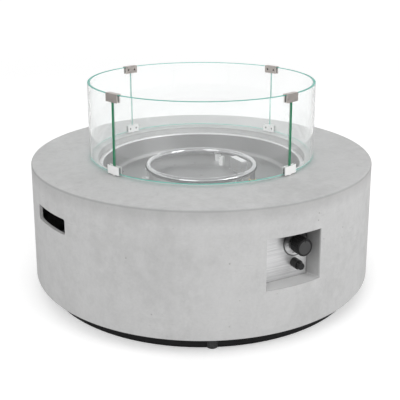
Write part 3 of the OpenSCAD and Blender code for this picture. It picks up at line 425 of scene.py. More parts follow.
def ring_tree():
    """Repeats a part round the Z axis."""
    build, inputs = geometry_tree("Ring of parts", Part="Geometry", Count="Int", First_angle="Float")
    points = build.add("GeometryNodePoints", {"Count": inputs["Count"]})
    step = build.math("DIVIDE", 2 * math.pi, inputs["Count"])
    index = build.add("GeometryNodeInputIndex").outputs[0]
    turn = build.math("MULTIPLY_ADD", index, step, inputs["First angle"])
    vector = build.add("ShaderNodeCombineXYZ", {"Z": turn})
    rotation = build.add("FunctionNodeEulerToRotation", {0: vector.outputs[0]})
    copies = build.add("GeometryNodeInstanceOnPoints", {
        "Points": points.outputs[0], "Instance": inputs["Part"], "Rotation": rotation.outputs[0]})
    return build.close(inputs, copies.outputs[0])


def tube_tree():
    """Runs a round tube along the edges of a path."""
    build, inputs = geometry_tree("Tube along a path", Path="Geometry", Radius="Float", Sides="Int")
    curve = build.add("GeometryNodeMeshToCurve", {0: inputs["Path"]}).outputs[0]
    return build.close(inputs, build.swept(curve, build.circle(inputs["Sides"], inputs["Radius"])))


def ribbed_hose_tree():
    """Runs a tube along a path and sets ribs on it at an even pitch."""
    build, inputs = geometry_tree("Ribbed hose", Path="Geometry", Radius="Float", Rib_height="Float",
                                  Pitch="Float")
    curve = build.add("GeometryNodeMeshToCurve", {0: inputs["Path"]}).outputs[0]
    around = build.circle(24, build.math("SUBTRACT", inputs["Radius"], inputs["Rib height"]))
    core = build.swept(curve, around)
    values = {"Curve": curve, "Length": inputs["Pitch"]}
    spots = build.add("GeometryNodeCurveToPoints", values, mode="LENGTH").outputs
    rib = build.swept(around, build.circle(6, inputs["Rib height"]), False)
    ribs = build.add("GeometryNodeInstanceOnPoints", {
        "Points": spots["Points"], "Instance": rib, "Rotation": spots["Rotation"]})
    both = build.add("GeometryNodeJoinGeometry")
    for piece in (core, ribs.outputs[0]):
        build.tree.links.new(piece, both.inputs[0])
    return build.close(inputs, both.outputs[0])


def coil_tree():
    """Winds a round wire into a coil spring that stands on Z."""
    build, inputs = geometry_tree("Coil spring", Coil_radius="Float", Wire_radius="Float", Length="Float",
                                  Turns="Float")
    spiral = build.add("GeometryNodeCurveSpiral", {
        "Resolution": 24, "Rotations": inputs["Turns"], "Start Radius": inputs["Coil radius"],
        "End Radius": inputs["Coil radius"], "Height": inputs["Length"]})
    return build.close(inputs, build.swept(spiral.outputs[0], build.circle(10, inputs["Wire radius"])))


def glass_tree():
    """Bends a glass panel with ground edges round the Z axis, from one angle over a sweep."""
    build, inputs = geometry_tree("Curved glass panel", Radius="Float", Thickness="Float", Height="Float",
                                  Start="Float", Sweep="Float", Middle_height="Float", Ground_edge="Float")
    arc = build.add("GeometryNodeCurveArc", {
        "Resolution": 240, "Radius": inputs["Radius"], "Start Angle": inputs["Start"],
        "Sweep Angle": inputs["Sweep"]}, mode="RADIUS")
    section = build.add("GeometryNodeCurvePrimitiveQuadrilateral", {
        "Width": inputs["Thickness"], "Height": inputs["Height"]})
    ground = build.add("GeometryNodeFilletCurve", {
        "Curve": section.outputs[0], "Radius": inputs["Ground edge"]})
    lift = build.add("ShaderNodeCombineXYZ", {"Z": inputs["Middle height"]})
    raised = build.add("GeometryNodeTransform", {
        "Geometry": build.swept(arc.outputs[0], ground.outputs[0]), "Translation": lift.outputs[0]})
    return build.close(inputs, raised.outputs[0])


# ---- Shader groups: each reads a place on the object and puts out masks, tones and heights

def shader_group(name, results, **sockets):
    """A shader node group with named inputs and outputs: returns its builder and its inputs."""
    group = bpy.data.node_groups.new(name, "ShaderNodeTree")
    for label, default in {"Vector": (0, 0, 0), **sockets}.items():
        kind = "Float" if isinstance(default, float) else "Vector"
        socket = group.interface.new_socket(name=label.replace("_", " "), in_out="INPUT",
                                            socket_type="NodeSocket" + kind)
        socket.default_value = default
    for label in results:
        group.interface.new_socket(name=label, in_out="OUTPUT", socket_type="NodeSocketFloat")
    build = Tree(group)
    return build, build.add("NodeGroupInput").outputs


def mottle_group():
    """Soft clouds of two sizes, for the uneven tone of cast and coated surfaces."""
    build, inputs = shader_group("Mottle", ("Tone", "Height"), Cloud_scale=6.0, Grain_scale=90.0,
                                 Grain_share=0.4)
    clouds = build.noise(inputs["Vector"], inputs["Cloud scale"], 4.0)
    grain = build.noise(inputs["Vector"], inputs["Grain scale"], 5.0, 0.65)
    tone = build.ramp(build.mix(inputs["Grain share"], clouds, grain), 0.3, 0.7)
    build.add("NodeGroupOutput", {"Tone": tone, "Height": grain})


def pinhole_group():
    """Small air holes of a casting: a mask that is 1 in the holes, and a height."""
    build, inputs = shader_group("Pinholes", ("Mask", "Height"), Scale=60.0, Size=0.12, Rarity=0.6)
    cells = build.add("ShaderNodeTexVoronoi", {"Vector": inputs["Vector"], "Scale": inputs["Scale"]}).outputs
    chosen = build.add("ShaderNodeSeparateColor", {0: cells["Color"]}).outputs
    rare = build.math("GREATER_THAN", chosen[0], inputs["Rarity"])
    size = build.product(inputs["Size"], chosen[1])
    mask = build.product(build.ramp(cells["Distance"], 0.0, size, 1.0, 0.0), rare)
    build.add("NodeGroupOutput", {"Mask": mask, "Height": build.math("SUBTRACT", 1.0, mask)})


def brushed_group():
    """Fine brushing along one direction, stretched by a scale for each axis."""
    build, inputs = shader_group("Brushed lines", ("Tone", "Height"), Stretch=(4, 900, 900))
    along = build.add("ShaderNodeMapping", {"Vector": inputs["Vector"], "Scale": inputs["Stretch"]})
    lines = build.noise(along.outputs[0], 1.0, 4.0, 0.7)
    broad = build.noise(inputs["Vector"], 14.0, 2.0)
    tone = build.ramp(build.mix(0.25, lines, broad), 0.3, 0.7)
    build.add("NodeGroupOutput", {"Tone": tone, "Height": lines})


def spun_group():
    """Fine rings round the Z axis, as a spun sheet has, with wide soft streaks."""
    build, inputs = shader_group("Spun rings", ("Tone", "Height"), Fineness=900.0)
    x, y, z = build.parts(inputs["Vector"])
    across = build.math("ADD", build.reach(x, y), z)
    turn = build.math("ARCTAN2", y, x)
    polar = build.add("ShaderNodeCombineXYZ", {
        0: build.product(across, inputs["Fineness"]), 1: build.product(turn, 1.5)})
    rings = build.noise(polar.outputs[0], 1.0, 3.0, 0.6)
    clouds = build.noise(inputs["Vector"], 9.0, 3.0)
    tone = build.ramp(build.mix(0.45, rings, clouds), 0.32, 0.68)
    build.add("NodeGroupOutput", {"Tone": tone, "Height": rings})


def side_highlight_group():
    """A mask for a painted highlight: 1 on faces that look along the wind guard's curve or up and down."""
    build, inputs = shader_group("Painted side highlight", ("Mask",))
    place = build.parts(inputs["Vector"])
    level = build.add("ShaderNodeCombineXYZ", {0: place[0], 1: place[1]}).outputs[0]
    outward = build.add("ShaderNodeVectorMath", {0: level}, operation="NORMALIZE").outputs[0]
    along = build.add("ShaderNodeVectorMath", {0: outward, 1: build.normal()}, operation="DOT_PRODUCT")
    facing = build.math("ABSOLUTE", along.outputs["Value"])
    build.add("NodeGroupOutput", {"Mask": build.ramp(facing, 0.5, 0.8, 1.0, 0.0)})


def dust_group():
    """Thin dust on faces that look up, broken by clouds."""
    build, inputs = shader_group("Settled dust", ("Mask",), Amount=0.3)
    up = build.ramp(build.parts(build.normal())[2], 0.2, 1.0)
    clouds = build.ramp(build.noise(inputs["Vector"], 35.0, 4.0), 0.35, 0.75)
    build.add("NodeGroupOutput", {"Mask": build.product(up, clouds, inputs["Amount"])})


# ---- Materials

FINE = 0.0003
DUST = (0.35, 0.34, 0.32, 1)
GLASS_SHADOW = (0.94, 0.96, 0.955, 1)
FINISHES = {}


def finish_of(name):
    if name not in FINISHES:
        raise RuntimeError("the finishes come first: " + name + " isn't made yet")
    return FINISHES[name]


def shade_of(colour, factor):
    return tuple(min(1.0, c * factor) for c in colour[:3]) + (1.0,)


class Finish:
    """A material under construction, with one Principled shader and shades of one colour."""

    def __init__(self, name, colour, **plain):
        self.material = bpy.data.materials.new(name)
        self.material.use_nodes = True
        self.material.node_tree.nodes.clear()
        self.build = Tree(self.material.node_tree)
        self.place = self.build.add("ShaderNodeTexCoord").outputs["Object"]
        self.shader = self.build.add("ShaderNodeBsdfPrincipled")
        self.out = self.build.add("ShaderNodeOutputMaterial", {"Surface": self.shader.outputs[0]})
        self.colour = colour
        for key, value in plain.items():
            self.shader.inputs[key.replace("_", " ")].default_value = value

    def use(self, group, **values):
        """Places a shader group and gives its outputs."""
        sockets = {key.replace("_", " "): value for key, value in values.items()}
        group = bpy.data.node_groups[group]
        return self.build.add("ShaderNodeGroup", {"Vector": self.place, **sockets}, node_tree=group).outputs

    def blend(self, mask, low, high):
        return self.build.add("ShaderNodeMix", {0: mask, 6: low, 7: high}, data_type="RGBA").outputs[2]

    def between(self, tone, low, high):
        """Starts the base colour between two shades."""
        self.base = self.blend(tone, shade_of(self.colour, low), shade_of(self.colour, high))

    def over(self, mask, factor):
        """Lays another shade over the base colour where a mask is 1."""
        self.base = self.blend(mask, self.base, shade_of(self.colour, factor))

    def link(self, name, socket):
        self.build.tree.links.new(socket, self.shader.inputs[name])

    def bump(self, height, strength, distance, **normal):
        values = {"Height": height, "Strength": strength, "Distance": distance, **normal}
        return self.build.add("ShaderNodeBump", values).outputs[0]

    def done(self, tone, smoothest, roughest, bump=0.0):
        """Links the base colour, and the roughness and bump that follow a group, and gives the material."""
        self.link("Base Color", self.base)
        self.link("Roughness", self.build.ramp(tone["Tone"], 0.0, 1.0, smoothest, roughest))
        if bump:
            self.link("Normal", self.bump(tone["Height"], bump, FINE))
        return self.material

    def clear_for_shadows(self):
        """Lets light through to the floor: shadow rays pass the glass with its tint."""
        passing = self.build.add("ShaderNodeBsdfTransparent", {0: GLASS_SHADOW})
        paths = self.build.add("ShaderNodeLightPath")
        mix = self.build.add("ShaderNodeMixShader", {
            0: paths.outputs["Is Shadow Ray"], 1: self.shader.outputs[0], 2: passing.outputs[0]})
        self.build.tree.links.new(mix.outputs[0], self.out.inputs[0])


def concrete(settings):
    """Cast concrete, with painted shade under its rim, and painted shade and painted light in its control
    recess.
    """
    finish = Finish("Cast concrete", settings.concrete_colour)
    build = finish.build
    mottle = settings.mottle
    tone = finish.use("Mottle", Cloud_scale=14.0, Grain_scale=130.0, Grain_share=0.6)
    wide = finish.use("Mottle", Cloud_scale=3.6, Grain_scale=30.0, Grain_share=0.5)
    holes = finish.use("Pinholes", Scale=40.0, Size=0.14, Rarity=0.72)
    streaks = finish.use("Brushed lines", Stretch=(22, 22, 2.4))
    scuffs = finish.use("Brushed lines", Stretch=(30, 30, 260))
    finish.between(tone["Tone"], 1 - mottle, 1 + mottle)
    finish.over(build.product(streaks["Tone"], 0.6), 1 + mottle)
    finish.over(build.ramp(scuffs["Tone"], 0.72, 1.0, 0.0, 0.5), 1 - mottle * 2)
    finish.over(build.ramp(wide["Tone"], 0.45, 1.0, 0.0, 0.6), 1 - mottle * 2)
    x, y, z = build.parts(finish.place)
    # the recess: painted shade on the right cheek, darker towards the top, painted light on the ledge, and
    # painted shade along the seam at the plate
    inside = build.product(build.ramp(build.reach(x, y), DRUM_R - 0.006, DRUM_R - 0.002, 1.0, 0.0),
                           build.ramp(z, RECESS_HIGH + 0.002, RECESS_HIGH + 0.006, 1.0, 0.0),
                           build.ramp(y, -0.42, -0.43))
    shaded_cheek = build.product(inside, build.ramp(x, 0.062, 0.068))
    finish.over(build.product(shaded_cheek, build.ramp(z, RECESS_LOW, RECESS_HIGH, 0.25, 0.85)), 0.25)
    finish.over(build.product(inside, build.ramp(z, RECESS_LOW + 0.006, RECESS_LOW + 0.002)), 1.15)
    finish.over(build.product(inside, build.ramp(y, PLATE_Y - 0.005, PLATE_Y, 0.0, 0.55)), 0.2)
    # the rim: painted shade, as a soft dark band below it and a thin dark line just under its rounding
    above = build.ramp(z, TOP_Z - 0.0022, TOP_Z - 0.0003, 1.0, 0.0)
    band = build.ramp(z, TOP_Z - 0.045, TOP_Z - 0.012)
    line = build.ramp(z, TOP_Z - 0.0075, TOP_Z - 0.0045)
    finish.over(build.product(band, above, settings.rim_shade), 0.6)
    finish.over(build.product(line, above, settings.rim_shade * 1.15), 0.45)
    # painted shade inside the pinholes
    finish.over(holes["Mask"], 0.45)
    fine = finish.bump(tone["Height"], 0.12, 0.0006)
    finish.link("Normal", finish.bump(holes["Height"], 0.7, 0.001, Normal=fine))
    return finish.done(tone, 0.62, 0.78)


def brushed_steel(name, colour, stretch, roughness, contrast=0.12, bump=0.05, metallic=1.0, sides=None):
    """Brushed steel, with a painted highlight on its side faces where a factor for it is given."""
    finish = Finish(name, colour, Metallic=metallic)
    lines = finish.use("Brushed lines", Stretch=stretch)
    finish.between(lines["Tone"], 1 - contrast, 1 + contrast)
    # the side faces get a painted highlight, as a shade of the colour
    if sides:
        finish.over(finish.use("Painted side highlight")["Mask"], sides)
    return finish.done(lines, roughness - 0.06, roughness + 0.08, bump)


def plate_steel():
    """Brushed plate and bezel, with a painted shadow round the bezel and painted shade over and beside the
    knob.
    """
    finish = Finish("Brushed control plate", (0.74, 0.74, 0.745), Metallic=0.7)
    build = finish.build
    lines = finish.use("Brushed lines", Stretch=(7, 200, 330))
    finish.between(lines["Tone"], 0.76, 1.24)
    place = build.parts(finish.place)
    across, over = build.math("SUBTRACT", place[0], KNOB.x), build.math("SUBTRACT", place[2], KNOB.z)
    reach = build.reach(across, over)
    # painted shadow: a dark ring round the bezel's edge
    finish.over(build.product(build.ramp(reach, 0.0352, 0.0362),
                              build.ramp(reach, 0.0375, 0.0405, 0.95, 0.0)), 0.05)
    # painted shade over and beside the knob, with a ragged edge that follows the brushing
    ragged = build.product(build.math("SUBTRACT", lines["Tone"], 0.5), 0.012)
    finish.over(build.product(build.ramp(build.math("ADD", over, ragged), -0.014, 0.010),
                              build.ramp(build.math("ADD", across, ragged), -0.060, -0.034, 0.0, 0.93)), 0.04)
    return finish.done(lines, 0.34, 0.48, 0.16)


def spun_steel(settings):
    """Steel of the fire pan, with painted shade on its wall and a painted highlight on its flange."""
    finish = Finish("Spun pan steel", settings.steel_colour, Metallic=1.0, Anisotropic=0.35)
    build = finish.build
    rings = finish.use("Spun rings", Fineness=420.0)
    finish.between(rings["Tone"], 0.86, 1.12)
    finish.over(finish.use("Settled dust", Amount=0.25)["Mask"], 0.9)
    x, y, z = build.parts(finish.place)
    # painted shade: the wall darker than the pan's floor
    finish.over(build.ramp(z, PAN_FLOOR_Z + 0.006, PAN_FLOOR_Z + 0.014), 0.48)
    # painted highlight: the flange much lighter than the rest of the pan
    finish.over(build.ramp(build.reach(x, y), PAN_MOUTH_R - 0.003, PAN_MOUTH_R - 0.001), 2.6)
    return finish.done(rings, 0.36, 0.48, 0.015)


def polished_steel(settings):
    finish = Finish("Polished burner steel", settings.burner_colour, Metallic=1.0)
    tone = finish.use("Mottle", Cloud_scale=18.0, Grain_scale=260.0, Grain_share=0.3)
    finish.between(tone["Tone"], 0.93, 1.05)
    return finish.done(tone, 0.06, 0.14)


def coated(name, colour, roughness, grain, bump, dust, gloss=0.5):
    """Paint, rubber, plastic or ceramic, with a fine grain and settled dust."""
    finish = Finish(name, colour, Specular_IOR_Level=gloss)
    tone = finish.use("Mottle", Cloud_scale=12.0, Grain_scale=grain, Grain_share=0.6)
    finish.between(tone["Tone"], 0.85, 1.2)
    finish.base = finish.blend(finish.use("Settled dust", Amount=dust)["Mask"], finish.base, DUST)
    return finish.done(tone, roughness - 0.07, roughness + 0.1, bump)


def metal(name, colour, roughness, contrast=0.1):
    """Cast, drawn or plated metal without a direction in it."""
    finish = Finish(name, colour, Metallic=1.0)
    tone = finish.use("Mottle", Cloud_scale=40.0, Grain_scale=700.0, Grain_share=0.5)
    finish.between(tone["Tone"], 1 - contrast, 1 + contrast)
    return finish.done(tone, roughness - 0.06, roughness + 0.1, 0.05)


def glass(name, colour, clearness, mottle, shades, roughness):
    """Glass that colours what is seen through it: the panes, or their ground edges."""
    finish = Finish(name, colour, Metallic=0.0, IOR=1.47, Transmission_Weight=clearness)
    cloud, grain, share = mottle
    tone = finish.use("Mottle", Cloud_scale=cloud, Grain_scale=grain, Grain_share=share)
    finish.between(tone["Tone"], *shades)
    finish.clear_for_shadows()
    return finish.done(tone, *roughness)


def glass_edge(name, colour, clearness):
    return glass(name, colour, clearness, (60.0, 900.0, 0.5), (0.85, 1.15), (0.22, 0.40))


def mix_finishes(table):
    """Builds the shader groups once and all the materials from them."""
    for group in (mottle_group, pinhole_group, brushed_group, spun_group, dust_group, side_highlight_group):
        group()
    controls, guard = table.controls, table.guard
    FINISHES.update({
        "concrete": concrete(table.drum),
        "black_paint": coated("Black powder coat", (0.009, 0.009, 0.0095), 0.5, 600.0, 0.2, 0.1, 0.25),
        "rubber": coated("Foot rubber", (0.035, 0.035, 0.036), 0.7, 500.0, 0.25, 0.5),
        "pad": coated("Clip pad rubber", (0.16, 0.16, 0.155), 0.65, 700.0, 0.2, 0.2),
        "zinc": metal("Zinc plated screws", (0.42, 0.42, 0.43), 0.32),
        "set_screw": coated("Dark set screws", (0.03, 0.023, 0.019), 0.45, 700.0, 0.1, 0.0, 0.3),
        "pan": spun_steel(table.pan),
        "sheet": brushed_steel("Plain stainless sheet", (0.46, 0.46, 0.47), (900, 900, 30), 0.33),
        "burner": polished_steel(table.burner),
        "perforated": brushed_steel("Perforated stainless", (0.82, 0.82, 0.825), (900, 20, 900), 0.34),
        "plate": plate_steel(),
        # the clips' side faces get a painted highlight
        "clip": brushed_steel("Brushed clip steel", guard.clip_colour, (60, 60, 700), 0.30, 0.34, 0.1,
                              sides=1.5),
        "bright": brushed_steel("Bright satin steel", (0.95, 0.95, 0.945), (60, 60, 1400), 0.4, 0.04, 0.05,
                                0.1, 0.5),
        "brass": metal("Plain brass", (0.63, 0.47, 0.22), 0.28, 0.14),
        "copper": metal("Copper", (0.66, 0.35, 0.22), 0.3, 0.12),
        "hose": metal("Corrugated stainless", (0.48, 0.48, 0.49), 0.28),
        "die_cast": metal("Die-cast aluminium", (0.46, 0.455, 0.44), 0.45, 0.14),
        "spring": metal("Spring wire", (0.45, 0.45, 0.46), 0.25),
        "ceramic": coated("White ceramic", (0.83, 0.81, 0.76), 0.25, 300.0, 0.05, 0.05),
        "silicone": coated("Red silicone", (0.5, 0.035, 0.025), 0.45, 500.0, 0.08, 0.1),
        "knob": coated("Black knob plastic", controls.knob_colour, 0.36, 900.0, 0.12, 0.06, 0.2),
        "knob_face": coated("Knob face", controls.face_colour, 0.42, 900.0, 0.1, 0.0),
        "igniter": coated("Igniter plastic", (0.010, 0.010, 0.0105), 0.3, 900.0, 0.05, 0.05, 0.3),
        "battery": coated("Battery wrap", (0.42, 0.27, 0.06), 0.3, 500.0, 0.02, 0.0),
        "glass": glass("Tempered glass", guard.glass_colour, guard.clearness, (7.0, 60.0, 0.2), (0.985, 1.0),
                       (0.0, 0.012)),
        "glass_edge": glass_edge("Ground glass edge", guard.edge_colour, 0.35),
        "glass_joint": glass_edge("Deep glass edge", guard.joint_colour, 0.0),
    })


# ---- Settings

def size_setting(name, description, default, low, high, precision=4):
    return bpy.props.FloatProperty(name=name, description=description, default=default, min=low, max=high,
                                   unit="LENGTH", precision=precision)


def share_setting(name, description, default, low=0.0, high=1.0):
    return bpy.props.FloatProperty(name=name, description=description, default=default, min=low, max=high,
                                   subtype="FACTOR")


def count_setting(name, description, default, low, high):
    return bpy.props.IntProperty(name=name, description=description, default=default, min=low, max=high)


def colour_setting(name, description, default):
    return bpy.props.FloatVectorProperty(name=name, description=description, default=default, size=3,
                                         subtype="COLOR")


class DrumSettings(bpy.types.PropertyGroup):
    rim_rounding: size_setting("Rim rounding", "Radius of the table top's rounded rim", 0.005, 0.002, 0.012)
    edge_softness: size_setting("Edge softness", "Rounding of slots and recess", 0.0018, 0.0, 0.004)
    segments: count_setting("Segments", "Facets round the drum", 288, 96, 512)
    mottle: share_setting("Mottle", "How uneven the concrete's tone is", 0.11, 0.0, 0.3)
    # the rim shade is painted shade: it darkens the concrete's colour in a band and a line under the rim
    rim_shade: share_setting("Rim shade", "How much darker the casting is just under the rim", 0.34)
    concrete_colour: colour_setting("Concrete", "Colour of the concrete", (0.516, 0.516, 0.515))


class PanSettings(bpy.types.PropertyGroup):
    corner_rounding: size_setting("Corner rounding", "Bend at the foot of the pan's wall", 0.007, 0.001,
                                  0.012)
    steel_colour: colour_setting("Pan steel", "Colour of the pan's steel", (0.36, 0.36, 0.363))


class BurnerSettings(bpy.types.PropertyGroup):
    rib_pitch: size_setting("Rib pitch", "Distance between the ribs of the gas hose", 0.0032, 0.002, 0.01)
    rib_height: size_setting("Rib height", "Height of the ribs of the gas hose", 0.0009, 0.0002, 0.002)
    burner_colour: colour_setting("Burner steel", "Colour of the burner ring", (0.52, 0.52, 0.53))


class ControlSettings(bpy.types.PropertyGroup):
    flutes: count_setting("Flutes", "Number of grip flutes round the knob", 24, 8, 48)
    flute_depth: size_setting("Flute depth", "Depth of the grip flutes", 0.0008, 0.0, 0.002)
    knob_colour: colour_setting("Knob", "Colour of the knob's side", (0.009, 0.009, 0.0095))
    face_colour: colour_setting("Knob face", "Colour of the knob's face", (0.034, 0.034, 0.035))


class GuardSettings(bpy.types.PropertyGroup):
    ground_edge: size_setting("Ground edge", "Rounding of the glass edges", 0.0012, 0.0002, 0.003)
    clip_rounding: size_setting("Clip rounding", "Rounding of the clips' edges", 0.0007, 0.0, 0.001)
    clearness: share_setting("Clearness", "Share of the light that the glass lets through", 0.93, 0.5)
    glass_colour: colour_setting("Glass", "Tint of the glass", (0.993, 1.0, 0.999))
    edge_colour: colour_setting("Glass edge", "Colour of the glass seen through its edges",
                                (0.06, 0.50, 0.40))
    joint_colour: colour_setting("Glass joint", "Colour of the glass seen deep through its joints",
                                 (0.0, 0.22, 0.095))
    clip_colour: colour_setting("Clips", "Colour of the clips' steel", (0.42, 0.385, 0.365))


class StageSettings(bpy.types.PropertyGroup):
    view_turn: bpy.props.FloatProperty(
        name="View turn", description="Angle of the camera round the table", default=math.radians(-27.33),
        subtype="ANGLE")
    distance: size_setting("Distance", "Level distance from the axis to the camera", 2.126, 0.1, 20.0, 3)
    height: size_setting("Height", "Height of the camera over the table top", 0.606, 0.0, 10.0, 3)
    pitch: bpy.props.FloatProperty(
        name="Pitch", description="How far the camera looks down", default=math.radians(12.48),
        subtype="ANGLE")
    focal: bpy.props.FloatProperty(
        name="Focal length", description="Focal length in widths of the frame", default=685.5 / FRAME_WIDTH)
    centre: bpy.props.FloatVectorProperty(
        name="Optical centre", description="Where the camera's axis meets the frame, in shares of its width",
        default=(201.42 / FRAME_WIDTH, 110.0 / FRAME_WIDTH), size=2)
    sky: bpy.props.FloatProperty(
        name="Sky", description="Strength of the even light from all round", default=0.74, min=0.0)
    key: bpy.props.FloatProperty(
        name="Key lamp", description="Power of the large lamp in front", default=46.0, min=0.0, unit="POWER")
    floor_colour: colour_setting("Floor", "Colour of the floor", (0.80, 0.80, 0.80))


class FireTableSettings(bpy.types.PropertyGroup):
    drum: bpy.props.PointerProperty(type=DrumSettings)
    pan: bpy.props.PointerProperty(type=PanSettings)
    burner: bpy.props.PointerProperty(type=BurnerSettings)
    controls: bpy.props.PointerProperty(type=ControlSettings)
    guard: bpy.props.PointerProperty(type=GuardSettings)
    stage: bpy.props.PointerProperty(type=StageSettings)


# ---- Pieces

def recess_outline(front, back, grow):
    """The tapered control recess from above, between two depths, with its cheeks moved out."""
    a, b = (MOUTH_HALF - TAPER * (y - MOUTH_Y) / (PLATE_Y - MOUTH_Y) + grow for y in (front, back))
    return [(-a, front), (a, front), (b, back), (-b, back)]


def slot_outline():
    """The outline of a handle slot, seen from outside."""
    x, z = SLOT_W / 2, SLOT_H / 2
    corners = [(px, pz, SLOT_ROUNDING) for px, pz in ((-x, -z), (x, -z), (x, z), (-x, z))]
    return [(px, pz + SLOT_Z) for px, pz in rounded(corners, 8)]


class FIRETABLE_OT_finishes(bpy.types.Operator):
    """Builds the shader groups and all the materials"""
    bl_idname = "fire_table.finishes"
    bl_label = "Finishes"

    def execute(self, context):
        mix_finishes(context.scene.fire_table)
        return {"FINISHED"}


class FIRETABLE_OT_drum(bpy.types.Operator):
    """Casts the concrete drum with its rim, handle slots and control recess"""
    bl_idname = "fire_table.drum"
    bl_label = "Concrete drum"

    def execute(self, context):
        settings = context.scene.fire_table.drum
        inner = DRUM_R - WALL
        outline = rounded([
            (DRUM_R, DRUM_FOOT_Z, 0.0015), (DRUM_R, TOP_Z, settings.rim_rounding), (OPENING_R, TOP_Z, 0.003),
            (OPENING_R, SEAT_Z, 0.001), (inner, SEAT_Z, 0.018), (inner, LIP_Z, 0.004), (LIP_R, LIP_Z, 0.0015),
            (LIP_R, DRUM_FOOT_Z, 0.0015)], 7)
        drum = mesh_object("concrete_drum", revolved(outline, settings.segments))
        tunnel = prism(recess_outline(TUNNEL_Y, PLATE_Y, TUNNEL_WALL), RECESS_LOW - TUNNEL_WALL,
                       RECESS_HIGH + TUNNEL_WALL)
        carve(drum, mesh_object("tunnel", tunnel), "UNION")
        recess = prism(recess_outline(OUTSIDE_Y, PLATE_Y + 0.001, 0.0), RECESS_LOW, RECESS_HIGH)
        carve(drum, mesh_object("recess", recess))
        for turn in SLOT_TURNS:
            hole = prism(slot_outline(), OUTSIDE_Y, INSIDE_Y, "Y")
            bmesh.ops.rotate(hole, verts=hole.verts, cent=(0, 0, 0),
                             matrix=Matrix.Rotation(math.radians(turn), 3, "Z"))
            carve(drum, mesh_object("slot", hole))
        if settings.edge_softness > 0:
            soften(drum, settings.edge_softness, 3)
        smooth(drum)
        finished(drum, "drum_shell", "concrete")
        return {"FINISHED"}


class FIRETABLE_OT_base(bpy.types.Operator):
    """Makes the black base ring, its feet and the screws under the drum"""
    bl_idname = "fire_table.base"
    bl_label = "Base ring and feet"

    def execute(self, context):
        dressed("base_ring", "black_paint", 0.0006)
        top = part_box("feet")[1].z
        outline = rounded([
            (FOOT_BORE_R, 0.0, 0.0006), (FOOT_R, 0.0, 0.003), (FOOT_R, 0.012, 0.0),
            (FOOT_GROOVE_R, 0.0128, 0.0), (FOOT_GROOVE_R, 0.0142, 0.0), (FOOT_R, 0.015, 0.0),
            (FOOT_R, top, 0.0005), (FOOT_BORE_R, top, 0.0005)], 5)
        foot = mesh_object("feet", revolved(outline, 40, (0.0, -FOOT_CIRCLE_R)))
        smooth(grown(foot, ring_tree, "rubber", Count=4, First_angle=math.radians(FEET_TURN)))
        finished(foot, "feet", "rubber")
        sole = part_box("base_ring")[1].z - 0.003
        screw_ring("base_screws", 0.014, BASE_SCREW_R, sole, 8, FEET_TURN + 22.5)
        screw_ring("foot_screws", 0.031, FOOT_CIRCLE_R, 0.022, 4, FEET_TURN)
        return {"FINISHED"}


class FIRETABLE_OT_seat(bpy.types.Operator):
    """Makes the steel ring that the pan hangs in, with its screws"""
    bl_idname = "fire_table.seat"
    bl_label = "Seat ring"

    def execute(self, context):
        dressed("seat_ring", "sheet", 0.0004)
        screw_ring("seat_screws", 0.014, SEAT_SCREW_R, SEAT_Z - 0.003, 8, 12)
        return {"FINISHED"}


class FIRETABLE_OT_pan(bpy.types.Operator):
    """Spins the stainless fire pan, with its drain holes and the holes for its fittings, and its hold-down
    clips
    """
    bl_idname = "fire_table.pan"
    bl_label = "Fire pan"

    def execute(self, context):
        bend = context.scene.fire_table.pan.corner_rounding
        floor, rim = PAN_FLOOR_Z, SEAT_Z + PAN_T
        outline = rounded([
            (0.0, floor, 0.0), (PAN_FLOOR_R, floor, bend), (PAN_MOUTH_R, rim, 0.0022),
            (PAN_EDGE_R, rim, 0.0004), (PAN_EDGE_R, rim - PAN_T, 0.0004),
            (PAN_MOUTH_R + 0.0003, rim - PAN_T, 0.0008),
            (PAN_FLOOR_R + 0.0009, floor - PAN_T, bend + PAN_T), (0.0, floor - PAN_T, 0.0)], 6)
        pan = mesh_object("fire_pan_spun", revolved(outline, 256))
        holes = [(0.0, 0.0, CENTRE_DRAIN_R)] + [(*place, r) for place, r in HOLE_R.items()]
        # one drain hole is left out, where the ignition parts stand
        for k in range(DRAIN_COUNT):
            a = math.radians(DRAIN_TURN + 360 // DRAIN_COUNT * k)
            if k != DRAIN_LEFT_OUT:
                holes.append((DRAIN_CIRCLE_R * math.sin(a), -DRAIN_CIRCLE_R * math.cos(a), DRAIN_R))
        cutters = bmesh.new()
        for x, y, r in holes:
            at = Matrix.Translation((x, y, floor))
            bmesh.ops.create_cone(cutters, cap_ends=True, segments=28, radius1=r, radius2=r, depth=0.02,
                                  matrix=at)
        carve(pan, mesh_object("holes", cutters))
        smooth(pan, 40)
        finished(pan, "fire_pan", "pan")
        dressed("hold_down_clips", "sheet", 0.0005)
        screw_ring("hold_down_bolts", 0.019, HOLD_DOWN_R, PAN_FLOOR_Z + 0.0001, 4, HOLD_DOWN_TURN, True)
        dressed("hold_down_nuts", "zinc", 0.0004)
        return {"FINISHED"}


class FIRETABLE_OT_burner(bpy.types.Operator):
    """Makes the polished burner ring with its brackets, riser, mixer and gas elbow"""
    bl_idname = "fire_table.burner"
    bl_label = "Burner ring"

    def execute(self, context):
        dress_each(("burner_ring", "burner", 0.0, 45), ("ring_brackets", "perforated", 0.0004),
                   ("bracket_rivets", "zinc", 0.0005), ("riser_tube", "burner"),
                   ("riser_nuts", "brass", 0.0005), ("air_mixer", "brass", 0.0005),
                   ("jet_elbow", "brass", 0.0005))
        return {"FINISHED"}


